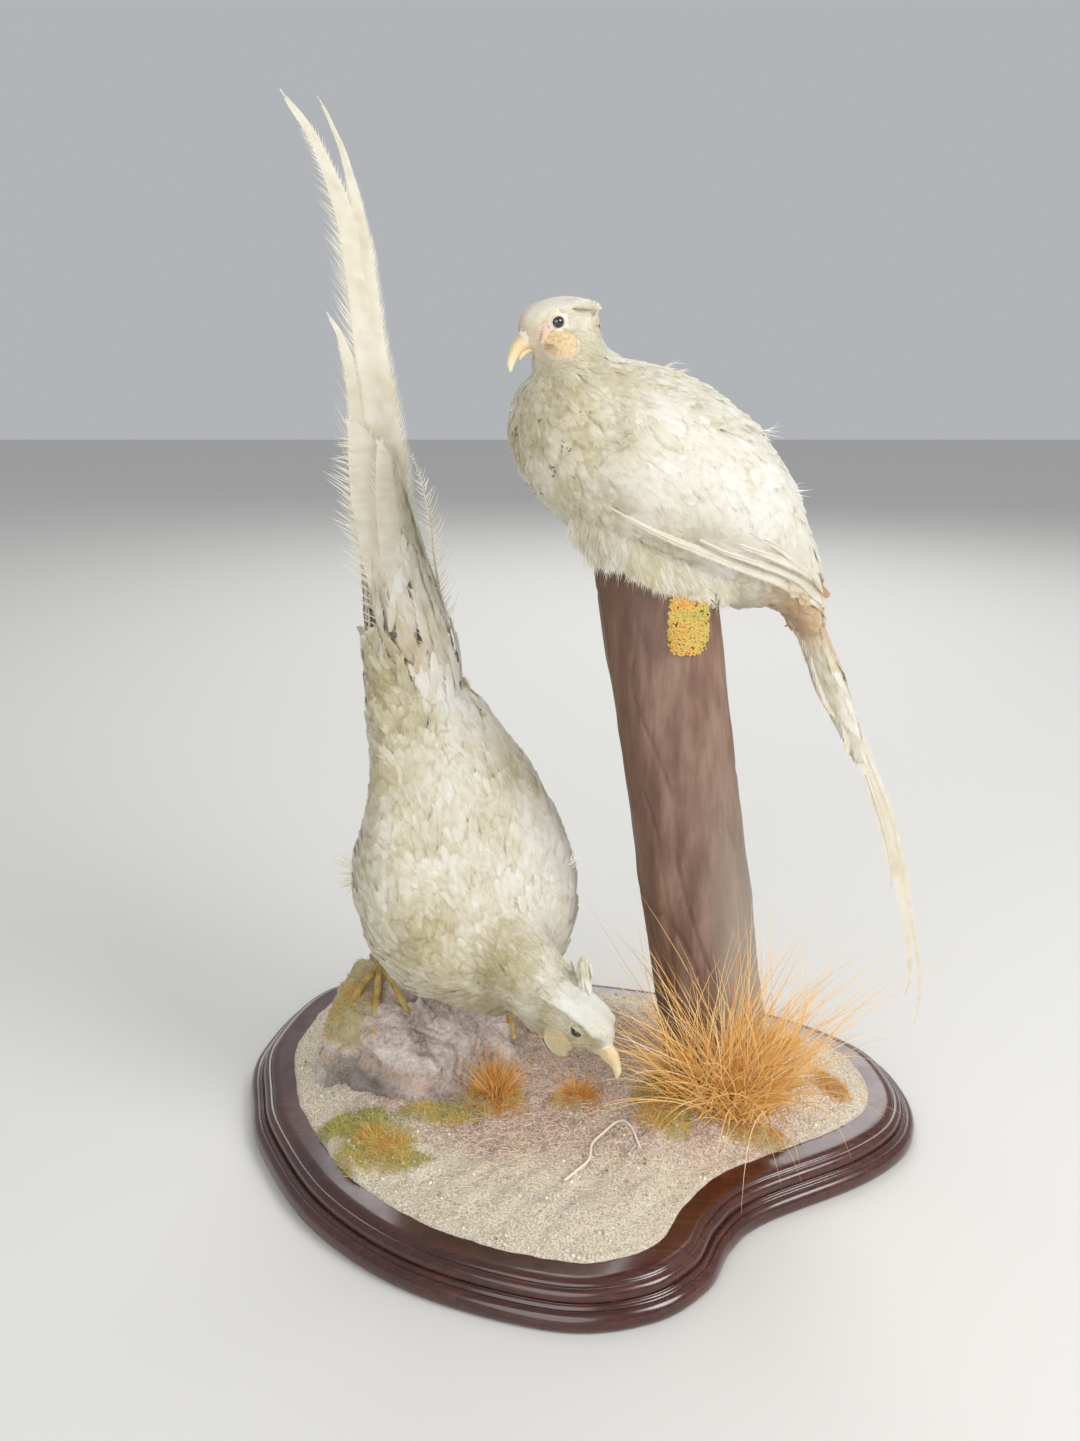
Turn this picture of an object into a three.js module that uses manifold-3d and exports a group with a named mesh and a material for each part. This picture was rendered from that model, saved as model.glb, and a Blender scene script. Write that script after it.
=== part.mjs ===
// Two mounted white pheasants on a shaped mahogany board: a cock leaning down off a rock with its tail
// held up straight, and a second, plainer bird sitting on a leaning post. Millimetres, +Z up, the front
// facing -Y. The origin is on the board's underside. Left and right are each bird's own.
import * as THREE from 'three';
import { mergeVertices } from 'three/addons/utils/BufferGeometryUtils.js';
import Module from 'manifold-3d';

const wasm = await Module();
wasm.setup();

// ---------- sizes ----------
const GAP = 0.3; // between solids that touch
const SEAT = -1.5; // how far forms of one solid sink into each other
const BOARD_THICK = 25;
const BARE_BAND = 34; // the board's polished edge outside the groundwork
const GROUND_EDGE = 2.5; // the groundwork's thickness at its edge
const POST_FOOT = [105, -10, BOARD_THICK + GAP];
const POST_TOP = [47.5, 23.5, 419];
const POST_RADII = [38, 41]; // at the foot and at the top
const ROCK = { at: [-120, 41], wide: 88, deep: 72, top: 87, turn: -0.12 };
const EYE = { radius: 4.6, out: 11.4 };
const CLAW_RADIUS = 0.9;

// ---------- small tools ----------
const vec = (p) => new THREE.Vector3(...p);
const mix = THREE.MathUtils.lerp;
const smooth = (edge0, edge1, x) => THREE.MathUtils.smoothstep(x, edge0, edge1);

function build(points, faces) {
  const vertProperties = new Float32Array(points.flatMap((p) => [p.x, p.y, p.z]));
  return new wasm.Manifold(new wasm.Mesh({ numProp: 3, vertProperties, triVerts: new Uint32Array(faces) }));
}

// A closed solid from rings of equally many points, with a point at each end.
function skinRings(rings, first, last) {
  const sides = rings[0].length;
  const points = [first, ...rings.flat(), last];
  const end = points.length - 1;
  const at = (ring, side) => 1 + ring * sides + (side % sides);
  const faces = [];
  for (let side = 0; side < sides; side++) {
    faces.push(0, at(0, side + 1), at(0, side));
    faces.push(end, at(rings.length - 1, side), at(rings.length - 1, side + 1));
    for (let ring = 0; ring + 1 < rings.length; ring++) {
      faces.push(at(ring, side), at(ring, side + 1), at(ring + 1, side + 1));
      faces.push(at(ring, side), at(ring + 1, side + 1), at(ring + 1, side));
    }
  }
  const made = build(points, faces);
  return made.volume() > 0 ? made : build(points, [...faces].reverse());
}

// A three.js geometry as a solid.
function fromGeometry(geometry, matrix) {
  const bare = geometry.clone().applyMatrix4(matrix);
  bare.deleteAttribute('normal');
  bare.deleteAttribute('uv');
  const merged = mergeVertices(bare, 1e-3);
  return new wasm.Manifold(new wasm.Mesh({
    numProp: 3,
    vertProperties: merged.attributes.position.array,
    triVerts: new Uint32Array(merged.index.array),
  }));
}

const union = (solids) => solids.reduce((all, one) => all.add(one));
const without = (solid, cutters) => cutters.reduce((left, cutter) => left.subtract(cutter), solid);
const biggest = (solid) => solid.decompose().sort((a, b) => b.volume() - a.volume())[0];

// An egg shape: a ball stretched to three half sizes.
function egg(at, sizes, place = new THREE.Matrix4(), rings = 8) {
  const stretch = new THREE.Matrix4().compose(vec(at), new THREE.Quaternion(), vec(sizes));
  return fromGeometry(new THREE.SphereGeometry(1, 2 * rings, rings), place.clone().multiply(stretch));
}

// A form swept along a spine. Each station is [x, y, z, wide, up, down]: the form reaches wide to both
// sides, up towards its back and down to its underside. The back's direction may turn along the way.
class Form {
  constructor(stations, back, lastBack = back, power = 2.2) {
    const curve = (points) => new THREE.CatmullRomCurve3(points.map(vec), false, 'catmullrom', 0.5);
    this.centres = curve(stations.map((s) => s.slice(0, 3)));
    this.sizes = curve(stations.map((s) => s.slice(3)));
    this.backs = [vec(back), vec(lastBack)];
    this.bend = 2 / power; // a power over 2 makes the section a little squarer than an ellipse
  }

  // around is 0 at the left side and a quarter turn at the back; lift is the distance out from the surface.
  point(along, around, lift = 0) {
    const ahead = this.centres.getTangent(along);
    const up = this.backs[0].clone().lerp(this.backs[1], along);
    up.addScaledVector(ahead, -up.dot(ahead)).normalize();
    const left = up.clone().cross(ahead);
    const size = this.sizes.getPoint(along);
    const swell = (x) => Math.sign(x) * Math.abs(x) ** this.bend;
    const high = Math.sin(around) > 0 ? size.y : size.z;
    return this.centres.getPoint(along)
      .addScaledVector(left, swell(Math.cos(around)) * (size.x + lift))
      .addScaledVector(up, swell(Math.sin(around)) * (high + lift));
  }

  solid(steps, sides, lift = 0) {
    const rings = [];
    for (let i = 0; i <= steps; i++) {
      const ring = [];
      for (let j = 0; j < sides; j++) {
        ring.push(this.point(i / steps, (2 * Math.PI * j) / sides, lift));
      }
      rings.push(ring);
    }
    return skinRings(rings, this.centres.getPoint(0), this.centres.getPoint(1));
  }

  // A folded wing lying on this form, from its bend (share 0) to its tip (share 1). span is its range along
  // the form; middle and half are its angles round it; thick is its thickness; seat is where its underside
  // lies and stand how far the tip lifts off.
  wing({ span, middle, half, thick, seat, stand = 0, steps = 8, across = 5 }) {
    const rings = [];
    for (let i = 0; i <= steps; i++) {
      const share = i / steps;
      const plan = Math.max(0.12, Math.sin(Math.PI * Math.min(0.985, 0.06 + share) ** 0.55) ** 0.7);
      const along = mix(span[0], span[1], share);
      const reach = mix(half[0], half[1], share) * plan;
      const lift = seat + stand * share ** 3;
      const edge = (j, out) => {
        const side = (2 * j) / across - 1;
        const bulge = out ? 1.2 - Math.min(0, seat) + thick * plan * Math.sqrt(1 - side * side) : 0;
        return this.point(along, mix(middle[0], middle[1], share) + side * reach, lift + bulge);
      };
      const count = [...Array(across + 1).keys()];
      rings.push([...count.map((j) => edge(j, false)), ...count.reverse().map((j) => edge(j, true))]);
    }
    const sumOf = (ring) => ring.reduce((sum, p) => sum.add(p), new THREE.Vector3());
    const middleOf = (ring) => sumOf(ring).divideScalar(ring.length);
    return skinRings(rings, middleOf(rings[0]), middleOf(rings[steps]));
  }
}

// ---------- board ----------
const OUTLINE = new THREE.CatmullRomCurve3([
  [-254, 90], [-245, 10], [-227, -44], [-181, -121], [-112, -181], [-22, -216], [38, -210], [76, -181],
  [95, -144], [122, -115], [200, -70], [240, -28], [250, 28], [228, 92], [150, 152], [20, 196],
  [-110, 214], [-215, 188],
].map(([x, y]) => new THREE.Vector3(x, y, 0)), true, 'catmullrom', 0.5);

// The edge moulding from the underside up, each step as [distance in from the outline, height].
const MOULDING = [
  [2, 0], [0, 4], [0.6, 9], [4, 13], [8, 14.2], [9, 18], [14, 22.2], [18, BOARD_THICK],
];

function outlineRing(inset, height, count) {
  const ring = [];
  for (let i = 0; i < count; i++) {
    const at = OUTLINE.getPointAt(i / count);
    const ahead = OUTLINE.getTangentAt(i / count);
    ring.push(new THREE.Vector3(at.x - ahead.y * inset, at.y + ahead.x * inset, height));
  }
  return ring;
}

function board() {
  const rings = MOULDING.map(([inset, height]) => outlineRing(inset, height, 44));
  return skinRings(rings, new THREE.Vector3(0, -10, 0), new THREE.Vector3(0, -10, BOARD_THICK));
}

// ---------- groundwork, rock and post ----------
const MOUNDS = [ // where the groundwork rises: middle, height and spread
  { at: [100, -22], rise: 36, spread: 66 },
  { at: [168, 30], rise: 14, spread: 60 },
  { at: [-95, 75], rise: 20, spread: 80 },
  { at: [-165, -40], rise: 8, spread: 46 },
  { at: [50, -80], rise: 8, spread: 30 },
  { at: [20, 110], rise: 16, spread: 75 },
];

function groundHeight(x, y, fromEdge) {
  let height = 8 * smooth(0, 40, fromEdge);
  for (const { at, rise, spread } of MOUNDS) {
    const far = Math.hypot(x - at[0], y - at[1]) / spread;
    height += rise * Math.exp(-far * far) * smooth(0, 70, fromEdge);
  }
  const ripple = Math.sin(x * 0.11 + 1.3) * Math.cos(y * 0.13) + 0.6 * Math.sin(x * 0.23 - y * 0.19);
  return BOARD_THICK + GROUND_EDGE + height + 0.9 * ripple * smooth(0, 30, fromEdge);
}

function groundwork() {
  const centre = new THREE.Vector3(0, -10, BOARD_THICK + GAP);
  const rim = outlineRing(BARE_BAND, BOARD_THICK + GAP, 30);
  const bands = 5;
  const rings = [rim];
  for (let band = 0; band < bands; band++) {
    rings.push(rim.map((p) => {
      const at = p.clone().lerp(centre, band / bands);
      at.z = groundHeight(at.x, at.y, Math.hypot(p.x - at.x, p.y - at.y));
      return at;
    }));
  }
  const top = centre.clone().setZ(groundHeight(centre.x, centre.y, 100));
  return skinRings(rings, centre, top);
}

// A point of the rock's face: share is 0 in the middle and 1 at its foot.
function rockPoint(share, around, grow) {
  const lump = 1 + 0.08 * Math.sin(3 * around + 0.6) + 0.05 * Math.sin(5 * around + 2.1);
  const x = share * lump * (ROCK.wide + grow) * Math.cos(around);
  const y = share * lump * (ROCK.deep + grow) * Math.sin(around);
  const cos = Math.cos(ROCK.turn);
  const sin = Math.sin(ROCK.turn);
  const crag = 2.5 * Math.sin(4 * around + 7 * share) + 1.5 * Math.sin(7 * around - 9 * share)
    + 0.1 * y - 0.28 * x; // highest at the back on the left
  const height = (ROCK.top - BOARD_THICK + crag) * (1 - share ** 5) + grow;
  const [atX, atY] = ROCK.at;
  return new THREE.Vector3(atX + cos * x - sin * y, atY + sin * x + cos * y, BOARD_THICK + GAP + 2 + height);
}

function rock(grow = 0) {
  const sides = 20;
  const bands = 6;
  const rings = [];
  for (let band = bands; band >= 1; band--) {
    const ring = [];
    for (let j = 0; j < sides; j++) {
      ring.push(rockPoint(band / bands, (2 * Math.PI * j) / sides, grow));
    }
    rings.push(ring);
  }
  const floor = BOARD_THICK + GAP - Math.min(grow, GAP);
  const under = rings[0].map((p) => new THREE.Vector3(p.x, p.y, floor));
  return skinRings([under, ...rings], new THREE.Vector3(...ROCK.at, floor), rockPoint(0, 0, grow));
}

function post(grow = 0) {
  const sides = 22;
  const steps = 4;
  const rings = [];
  for (let i = 0; i <= steps; i++) {
    const share = mix(-grow / 40, 1 + grow / 400, i / steps);
    const middle = vec(POST_FOOT).lerp(vec(POST_TOP), share);
    const ring = [];
    for (let j = 0; j < sides; j++) {
      const turn = (2 * Math.PI * j) / sides;
      const radius = grow + mix(...POST_RADII, share) * (1 + 0.012 * Math.sin(3 * turn + 4 * share));
      ring.push(new THREE.Vector3(radius * Math.cos(turn), radius * Math.sin(turn), 0).add(middle));
    }
    rings.push(ring);
  }
  const middleOf = (ring) => ring[0].clone().add(ring[sides / 2]).multiplyScalar(0.5);
  return skinRings(rings, middleOf(rings[0]), middleOf(rings[steps]));
}

// ---------- head: x ahead, y left, z up, the origin between the eyes ----------
const SKULL = [
  [-33, 0, -14, 7, 8, 8], [-28, 0, -10, 13, 14, 15], [-19, 0, -7, 15.5, 20, 19],
  [-9, 0, -5, 15.5, 21, 21], [1, 0, -4.5, 14, 20, 19.5], [10, 0, -5, 11.5, 17.5, 16],
  [17, 0, -7.5, 8, 12.5, 12], [22, 0, -9.5, 5, 5.5, 6.5],
];
const UPPER_BILL = [
  [16, 0, -9.5, 5.5, 5, 4.4], [22, 0, -11, 5, 6, 4.4], [26.4, 0, -15.5, 3.7, 4.8, 3.4],
  [29.6, 0, -21, 2.2, 3, 2.2], [30.4, 0, -26, 0.9, 1, 1],
];
const LOWER_BILL = [
  [12, 0, -16.5, 4.2, 2, 2.6], [18.5, 0, -18.6, 3.8, 2, 2.6], [23.4, 0, -21.4, 2.4, 1.6, 2],
  [26.2, 0, -24, 1, 0.8, 1],
];

// The head's own frame from where it looks and where its crown points.
function headFrame(at, ahead, crown) {
  const x = vec(ahead).normalize();
  const z = vec(crown).addScaledVector(x, -vec(crown).dot(x)).normalize();
  return new THREE.Matrix4().makeBasis(x, z.clone().cross(x), z).setPosition(...at);
}

// A form drawn in the head's frame, brought to its place.
function placed(stations, frame, steps, sides, lift = 0) {
  const form = new Form(stations, [0, 0, 1]);
  const { elements } = frame;
  return form.solid(steps, sides, lift).transform([...elements]);
}

// A bird's head as functions of how far each form is grown, so that a neighbour can be cut clear of it.
// tufts holds how far back the ear tufts reach and how high each one's tip stands, left and right.
function headForms(frame, tufts) {
  const tuft = (side, grow) => {
    const rise = side > 0 ? tufts.left : tufts.right;
    return placed([
      [-14, 9 * side, 9, 3.5, 4.5, 4.5],
      [mix(-14, -tufts.reach, 0.55), 13 * side, 6 + rise / 2, 3.4, 4.2, 4.2],
      [-tufts.reach, 17 * side, 2 + rise, 2.4, 3, 3],
    ], frame, 3, 6, grow);
  };
  const cheek = (side, grow) => {
    const sizes = [10.5, 6.4, 10].map((size) => size + grow);
    return egg([-7, 9.6 * side, -13], sizes, frame, 4);
  };
  const pair = (form, grow) => [form(1, grow), form(-1, grow)];
  return {
    skull: (grow) => union([
      placed(SKULL, frame, 9, 14, grow), ...pair(tuft, grow), ...pair(cheek, grow),
    ]),
    upperBill: (grow) => placed(UPPER_BILL, frame, 7, 8, grow),
    lowerBill: (grow) => placed(LOWER_BILL, frame, 4, 8, grow),
    eye: (side, grow) => egg([0, EYE.out * side, 0], [1, 1, 1].map(() => EYE.radius + grow), frame, 4),
  };
}

// ---------- the cock ----------
const COCK_BACK = [0.36, -0.76, 0.54];
const COCK_TRUNK = new Form([
  [-133, 72, 352, 25, 14, 16], [-121, 66, 313, 38, 24, 28], [-102, 52, 271, 55, 36, 42],
  [-91, 36, 231, 69, 46, 54], [-84, 24, 197, 77, 52, 60], [-73, 10, 161, 72, 52, 56],
  [-62, -3, 130, 52, 42, 42], [-56, -12, 110, 26, 22, 22], [-54, -15, 103, 6, 6, 6],
], COCK_BACK);
const COCK_HEAD = headFrame([3, -70, 127], [0.76, -0.56, -0.33], [0.2, -0.26, 0.94]);
const COCK_NECK = new Form([
  [-76, 8, 172, 44, 40, 40], [-53, -18, 155, 36, 32, 34], [-36, -37, 145, 28, 27, 28],
  [-23, -50, 134, 23, 22, 25], [-10, -60, 124, 15, 14, 18],
], COCK_BACK, [0.27, -0.23, 0.93]);
const TAIL_BACK = [0.3, -0.94, 0.16];
const COCK_TAIL = { // the long feathers, each drawn along its shaft from the root to the tip
  coverts: [
    [-129, 71, 338, 27, 15, 17], [-134, 74, 372, 27, 10, 11], [-138, 77, 405, 24, 5, 5],
    [-140, 79, 440, 14, 2, 2],
  ],
  longest: [
    [-132, 74, 345, 20, 2, 2], [-137, 76, 384, 21, 2, 2], [-141, 78, 427, 22, 1.8, 1.8],
    [-144, 81, 469, 21, 1.6, 1.6], [-146, 83, 504, 19.5, 1.5, 1.5], [-147, 85, 537, 16.6, 1.4, 1.4],
    [-150, 87, 570, 12.3, 1.3, 1.3], [-155, 89, 603, 9.9, 1.2, 1.2], [-161, 90, 632, 8.8, 1.1, 1.1],
    [-166, 92, 654, 8.4, 1, 1], [-171, 93, 673, 6, 0.9, 0.9], [-181, 94, 697, 5.4, 0.8, 0.8],
    [-190, 95, 710, 3.3, 0.6, 0.6], [-199, 96, 722, 0.8, 0.4, 0.4],
  ],
  second: [
    [-118, 76, 345, 14, 2, 2], [-123, 78, 400, 12, 2, 2], [-130, 83, 486, 12.2, 1.8, 1.8],
    [-136, 85, 524, 11.1, 1.6, 1.6], [-141, 87, 564, 9.8, 1.5, 1.5], [-149, 90, 618, 8.1, 1.3, 1.3],
    [-152, 92, 653, 4.6, 1.1, 1.1], [-156, 93, 674, 4.2, 1, 1], [-161, 94, 690, 2.2, 0.8, 0.8],
    [-169, 95, 708, 1, 0.5, 0.5], [-176, 96, 718, 0.6, 0.4, 0.4],
  ],
  side: [
    [-140, 76, 345, 12, 2, 2], [-149, 79, 384, 12, 2, 2], [-155, 82, 427, 12, 1.8, 1.8],
    [-158, 84, 469, 10, 1.6, 1.6], [-155, 87, 524, 7.4, 1.4, 1.4], [-159, 89, 555, 5.5, 1.1, 1.1],
    [-167, 90, 571, 3, 0.8, 0.8], [-176, 91, 582, 0.6, 0.4, 0.4],
  ],
  loose: [
    [-106, 76, 345, 9, 2, 2], [-102, 80, 372, 10, 1.6, 1.6], [-102, 82, 398, 9.4, 1.2, 1.2],
    [-105, 84, 426, 7.4, 1, 1], [-109, 85, 449, 5.6, 0.9, 0.9], [-117, 84, 486, 1.4, 0.8, 0.8],
  ],
};

function cockTail(grow) {
  const blade = (stations, steps, sides = 6) => new Form(stations, TAIL_BACK).solid(steps, sides, grow);
  return union([
    blade(COCK_TAIL.coverts, 3, 12), blade(COCK_TAIL.longest, 13), blade(COCK_TAIL.second, 10),
    blade(COCK_TAIL.side, 8), blade(COCK_TAIL.loose, 5),
  ]);
}

// A feathered shank of the leg, and the bare foot: where the shank ends and where each claw ends.
const LEGS = {
  right: {
    thigh: [
      [-118, 58, 220, 25, 28, 24], [-136, 70, 185, 19, 20, 19], [-145, 76, 152, 9, 9, 9],
      [-146, 74, 140, 5.5, 5, 5],
    ],
    shank: [[-146, 74, 144], [-148, 64, 124], [-150, 53, 106]],
    toes: [[-172, 13, 86], [-150, -8, 74], [-125, 9, 88], [-160, 78, 101]],
  },
  left: {
    thigh: [
      [-74, 46, 190, 24, 26, 24], [-64, 60, 158, 19, 20, 18], [-58, 69, 128, 9, 9, 9],
      [-57, 71, 114, 5.5, 5, 5],
    ],
    shank: [[-57, 72, 118], [-57, 70, 92], [-57, 66, 68]],
    toes: [[-70, 38, 73], [-48, 30, 53], [-34, 44, 52], [-62, 90, 60]],
  },
};

// A tapering round rod with a smooth path through its points.
function limb(path, thick, grow, steps = 3, sides = 6) {
  const last = path.length - 1;
  const stations = path.map((p, i) => [...p, ...[1, 1, 1].map(() => mix(thick[0], thick[1], i / last))]);
  return new Form(stations, [0.3, -0.5, 0.9], [0.3, -0.5, 0.9], 2).solid(steps, sides, grow);
}

// The foot grips the rock: each toe leaves the ankle, arches over one knuckle and ends in a claw.
function foot(leg, grow) {
  const ankle = leg.shank[2];
  const toes = leg.toes.map((tip) => {
    const knuckle = [0, 1, 2].map((k) => mix(ankle[k], tip[k], 0.5) + (k === 2 ? 5 : 0));
    const start = [ankle[0], ankle[1], ankle[2] + 2];
    return limb([start, knuckle, tip], [3.4, CLAW_RADIUS], grow, 3, 5);
  });
  return union([limb(leg.shank, [3.8, 3.6], grow), ...toes]);
}

// ---------- the perched bird: one solid ----------
const PERCHED_BACK = [0.5, 0.16, 0.85];
const PERCHED_TRUNK = new Form([
  [-46, -10, 526, 6, 6, 6], [-40, -8, 525, 24, 22, 23], [-24, -3, 519, 43, 44, 42],
  [-3, 5, 508, 53, 56, 51], [21, 13, 497, 59, 61, 63], [43, 21, 486, 61, 64, 70],
  [69, 30, 472, 59, 61, 66], [92, 37, 455, 53, 54, 62], [110, 43, 438, 46, 46, 57],
  [128, 49, 420, 36, 36, 46], [142, 53, 407, 27, 25, 27], [153, 57, 395, 21, 18, 18],
], PERCHED_BACK);
const PERCHED_HEAD = headFrame([-22.5, -3, 578], [-0.931, -0.337, -0.139], [-0.13, -0.047, 0.99]);
const PERCHED_NECK = [
  [14, 12, 498, 46, 46, 46], [0, 7, 527, 37, 36, 34], [-10, 3, 548, 28, 27, 26],
  [-16, 0, 566, 19, 18, 19], [-19, -1, 576, 12, 12, 12],
];
const PERCHED_FLIGHTS = [ // the tips of the left wing's flight feathers, past the body
  [110, 14, 440, 20, 8, 8], [138, 27, 412, 14, 5, 5], [158, 38, 393, 7, 3, 3],
  [166, 42, 383, 1.5, 1, 1],
];
const PERCHED_TAIL = {
  coverts: [
    [128, 48, 416, 30, 26, 26], [152, 57, 388, 24, 16, 13], [168, 61, 352, 20, 11, 9],
    [184, 63, 318, 16, 10, 9],
  ],
  longest: [
    [150, 56, 392, 20, 10, 10], [169, 61, 352, 20, 10, 10], [183, 63, 327, 18, 11, 11],
    [203, 63, 288, 15, 10.5, 10.5], [225, 64, 236, 12, 9.4, 9.4], [240, 64, 194, 10, 9, 9],
    [250, 65, 152, 8, 6, 6], [255, 65, 113, 6, 4.6, 4.6], [258, 66, 82, 4, 3.6, 3.6],
    [257, 66, 67, 1.5, 1.5, 1.5],
  ],
  second: [
    [232, 66, 215, 8, 5, 5], [249, 67, 170, 7, 5, 5], [262, 68, 113, 5, 3.4, 3.4],
    [265, 68, 80, 3.4, 2.6, 2.6], [265, 68, 66, 2.4, 2, 2], [262, 68, 50, 0.8, 0.8, 0.8],
  ],
};

function perched() {
  const head = headForms(PERCHED_HEAD, { reach: 27, left: 0, right: 0 });
  const wing = (side) => PERCHED_TRUNK.wing({
    span: [0.28, 1],
    middle: [0.05, 0.42].map((turn) => (side > 0 ? turn : Math.PI - turn)),
    half: [0.7, 0.75], thick: 5, seat: SEAT, stand: 3,
  });
  const tail = (stations, steps, sides) => new Form(stations, [0.9, 0.2, 0.4]).solid(steps, sides);
  return union([
    PERCHED_TRUNK.solid(12, 16), new Form(PERCHED_NECK, [1, 0.3, 0.3]).solid(5, 12), head.skull(0),
    head.upperBill(0), head.lowerBill(0.2), head.eye(1, 0), head.eye(-1, 0), wing(1), wing(-1),
    new Form(PERCHED_FLIGHTS, [0.6, -0.5, 0.6]).solid(4, 6),
    tail(PERCHED_TAIL.coverts, 3, 8), tail(PERCHED_TAIL.longest, 10, 6),
    tail(PERCHED_TAIL.second, 6, 5),
  ]);
}

// ---------- meshes ----------
const group = new THREE.Group();
const FINISHES = {
  coat: { color: 0xe6dfc8, roughness: 0.85 },
  bill: { color: 0xd9bd84, roughness: 0.45 },
  foot: { color: 0xb59a55, roughness: 0.6 },
  eye: { color: 0x1c1714, roughness: 0.08 },
  mahogany: { color: 0x5a2420, roughness: 0.25 },
  sand: { color: 0xb8a988, roughness: 0.95 },
  stone: { color: 0x8a7d78, roughness: 0.9 },
  bark: { color: 0x7d6253, roughness: 0.6 },
};

function addNode(name, finish, solid) {
  const mesh = solid.getMesh();
  const geometry = new THREE.BufferGeometry();
  geometry.setAttribute('position', new THREE.BufferAttribute(mesh.vertProperties, 3));
  geometry.setIndex(new THREE.BufferAttribute(mesh.triVerts, 1));
  geometry.computeVertexNormals();
  const node = new THREE.Mesh(geometry, new THREE.MeshStandardMaterial(FINISHES[finish]));
  node.name = name;
  group.add(node);
}

// The cock: each part is cut clear of the ones it grows out of.
const trunk = (grow) => COCK_TRUNK.solid(15, 18, grow);
const neck = (grow) => COCK_NECK.solid(5, 14, grow);
const head = headForms(COCK_HEAD, { reach: 34, left: 16, right: 9 });
const cockWing = (side) => COCK_TRUNK.wing({
  span: [0.77, 0.08],
  middle: [0.1, 0.5].map((turn) => (side > 0 ? turn : Math.PI - turn)),
  half: [0.8, 0.8], thick: 6, seat: SEAT,
});
const thigh = (leg, grow) => new Form(leg.thigh, [0.2, -0.9, 0.2]).solid(4, 10, grow);

addNode('board', 'mahogany', board());
addNode('groundwork', 'sand', biggest(without(groundwork(), [rock(GAP), post(GAP)])));
addNode('rock', 'stone', without(rock(), [foot(LEGS.left, GAP), foot(LEGS.right, GAP)]));
addNode('post', 'bark', post());
addNode('cock_trunk', 'coat', trunk(0));
addNode('cock_neck', 'coat', biggest(without(neck(0), [trunk(GAP), head.skull(GAP)])));
addNode('cock_head', 'coat', without(head.skull(0),
  [head.upperBill(GAP), head.lowerBill(GAP), head.eye(1, GAP), head.eye(-1, GAP)]));
addNode('cock_upper_bill', 'bill', head.upperBill(0));
addNode('cock_lower_bill', 'bill', biggest(head.lowerBill(0).subtract(head.upperBill(GAP))));
addNode('cock_tail', 'coat', biggest(cockTail(0).subtract(trunk(GAP))));
for (const [which, side] of [['left', 1], ['right', -1]]) {
  const leg = LEGS[which];
  addNode(`cock_eye_${which}`, 'eye', head.eye(side, 0));
  addNode(`cock_wing_${which}`, 'coat', biggest(without(cockWing(side), [trunk(GAP), neck(GAP)])));
  addNode(`cock_thigh_${which}`, 'coat', biggest(without(thigh(leg, 0), [trunk(GAP), foot(leg, GAP)])));
  addNode(`cock_foot_${which}`, 'foot', foot(leg, 0));
}
addNode('perched_bird', 'coat', biggest(perched().subtract(post(GAP))));

export default group;
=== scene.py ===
import math

import bmesh
import bpy
import numpy as np
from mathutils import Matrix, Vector
from mathutils.bvhtree import BVHTree


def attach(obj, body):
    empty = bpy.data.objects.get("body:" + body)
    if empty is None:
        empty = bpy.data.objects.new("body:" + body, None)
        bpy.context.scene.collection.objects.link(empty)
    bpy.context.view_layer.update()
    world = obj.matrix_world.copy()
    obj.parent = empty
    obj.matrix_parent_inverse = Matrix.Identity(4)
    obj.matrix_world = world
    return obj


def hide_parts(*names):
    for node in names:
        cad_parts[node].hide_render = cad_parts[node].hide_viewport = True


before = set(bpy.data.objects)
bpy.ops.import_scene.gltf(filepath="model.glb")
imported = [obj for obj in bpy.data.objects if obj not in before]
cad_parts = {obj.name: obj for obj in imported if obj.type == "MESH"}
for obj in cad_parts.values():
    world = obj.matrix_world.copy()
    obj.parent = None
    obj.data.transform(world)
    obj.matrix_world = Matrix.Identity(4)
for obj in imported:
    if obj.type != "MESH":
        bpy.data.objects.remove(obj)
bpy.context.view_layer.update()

# Two mounted white pheasants on a moulded mahogany board: a cock leaning down off a rock with the tail
# held up, and another bird on a leaning post. Sizes below are in millimetres, +Z up, the front facing -Y.
MM = 0.001
rng = np.random.default_rng(11)


# ---------- small tools ----------
def colour(code):
    """An sRGB hex value as linear light."""
    parts = [int(code[i:i + 2], 16) / 255 for i in (1, 3, 5)]
    return [p / 12.92 if p <= 0.04045 else ((p + 0.055) / 1.055) ** 2.4 for p in parts] + [1.0]


def finish(name, surface, *look):
    """A material: surface adds its nodes with add and returns the last one."""
    made = bpy.data.materials.new(name)
    made.use_nodes = True
    tree = made.node_tree
    tree.nodes.clear()

    def add(kind, inputs=None, stops=(), **settings):
        """Adds a node with its settings and links. A socket takes a value, a colour, a mark of the mesh
        by its name, an output, or a node, which stands for its Fac or else its first output."""
        new = tree.nodes.new("ShaderNode" + kind)
        for key, value in settings.items():
            setattr(new, key, value)
        for key, value in (inputs or {}).items():
            if isinstance(value, str) and value[0] != "#":
                value = add("Attribute", attribute_name=value)
            if isinstance(value, bpy.types.Node):
                value = value.outputs.get("Fac", value.outputs[0])
            if isinstance(value, bpy.types.NodeSocket):
                tree.links.new(value, new.inputs[key])
            else:
                new.inputs[key].default_value = colour(value) if isinstance(value, str) else value
        for _ in range(len(stops) - 2):
            new.color_ramp.elements.new(0.5)
        for number, (place, code) in enumerate(stops):
            new.color_ramp.elements[number].position = place
            new.color_ramp.elements[number].color = colour(code)
        return new

    add("OutputMaterial", {"Surface": surface(add, *look)})
    return made


def unit(v):
    """Vectors at length one."""
    return v / np.maximum(np.linalg.norm(v, axis=-1, keepdims=True), 1e-9)


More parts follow.
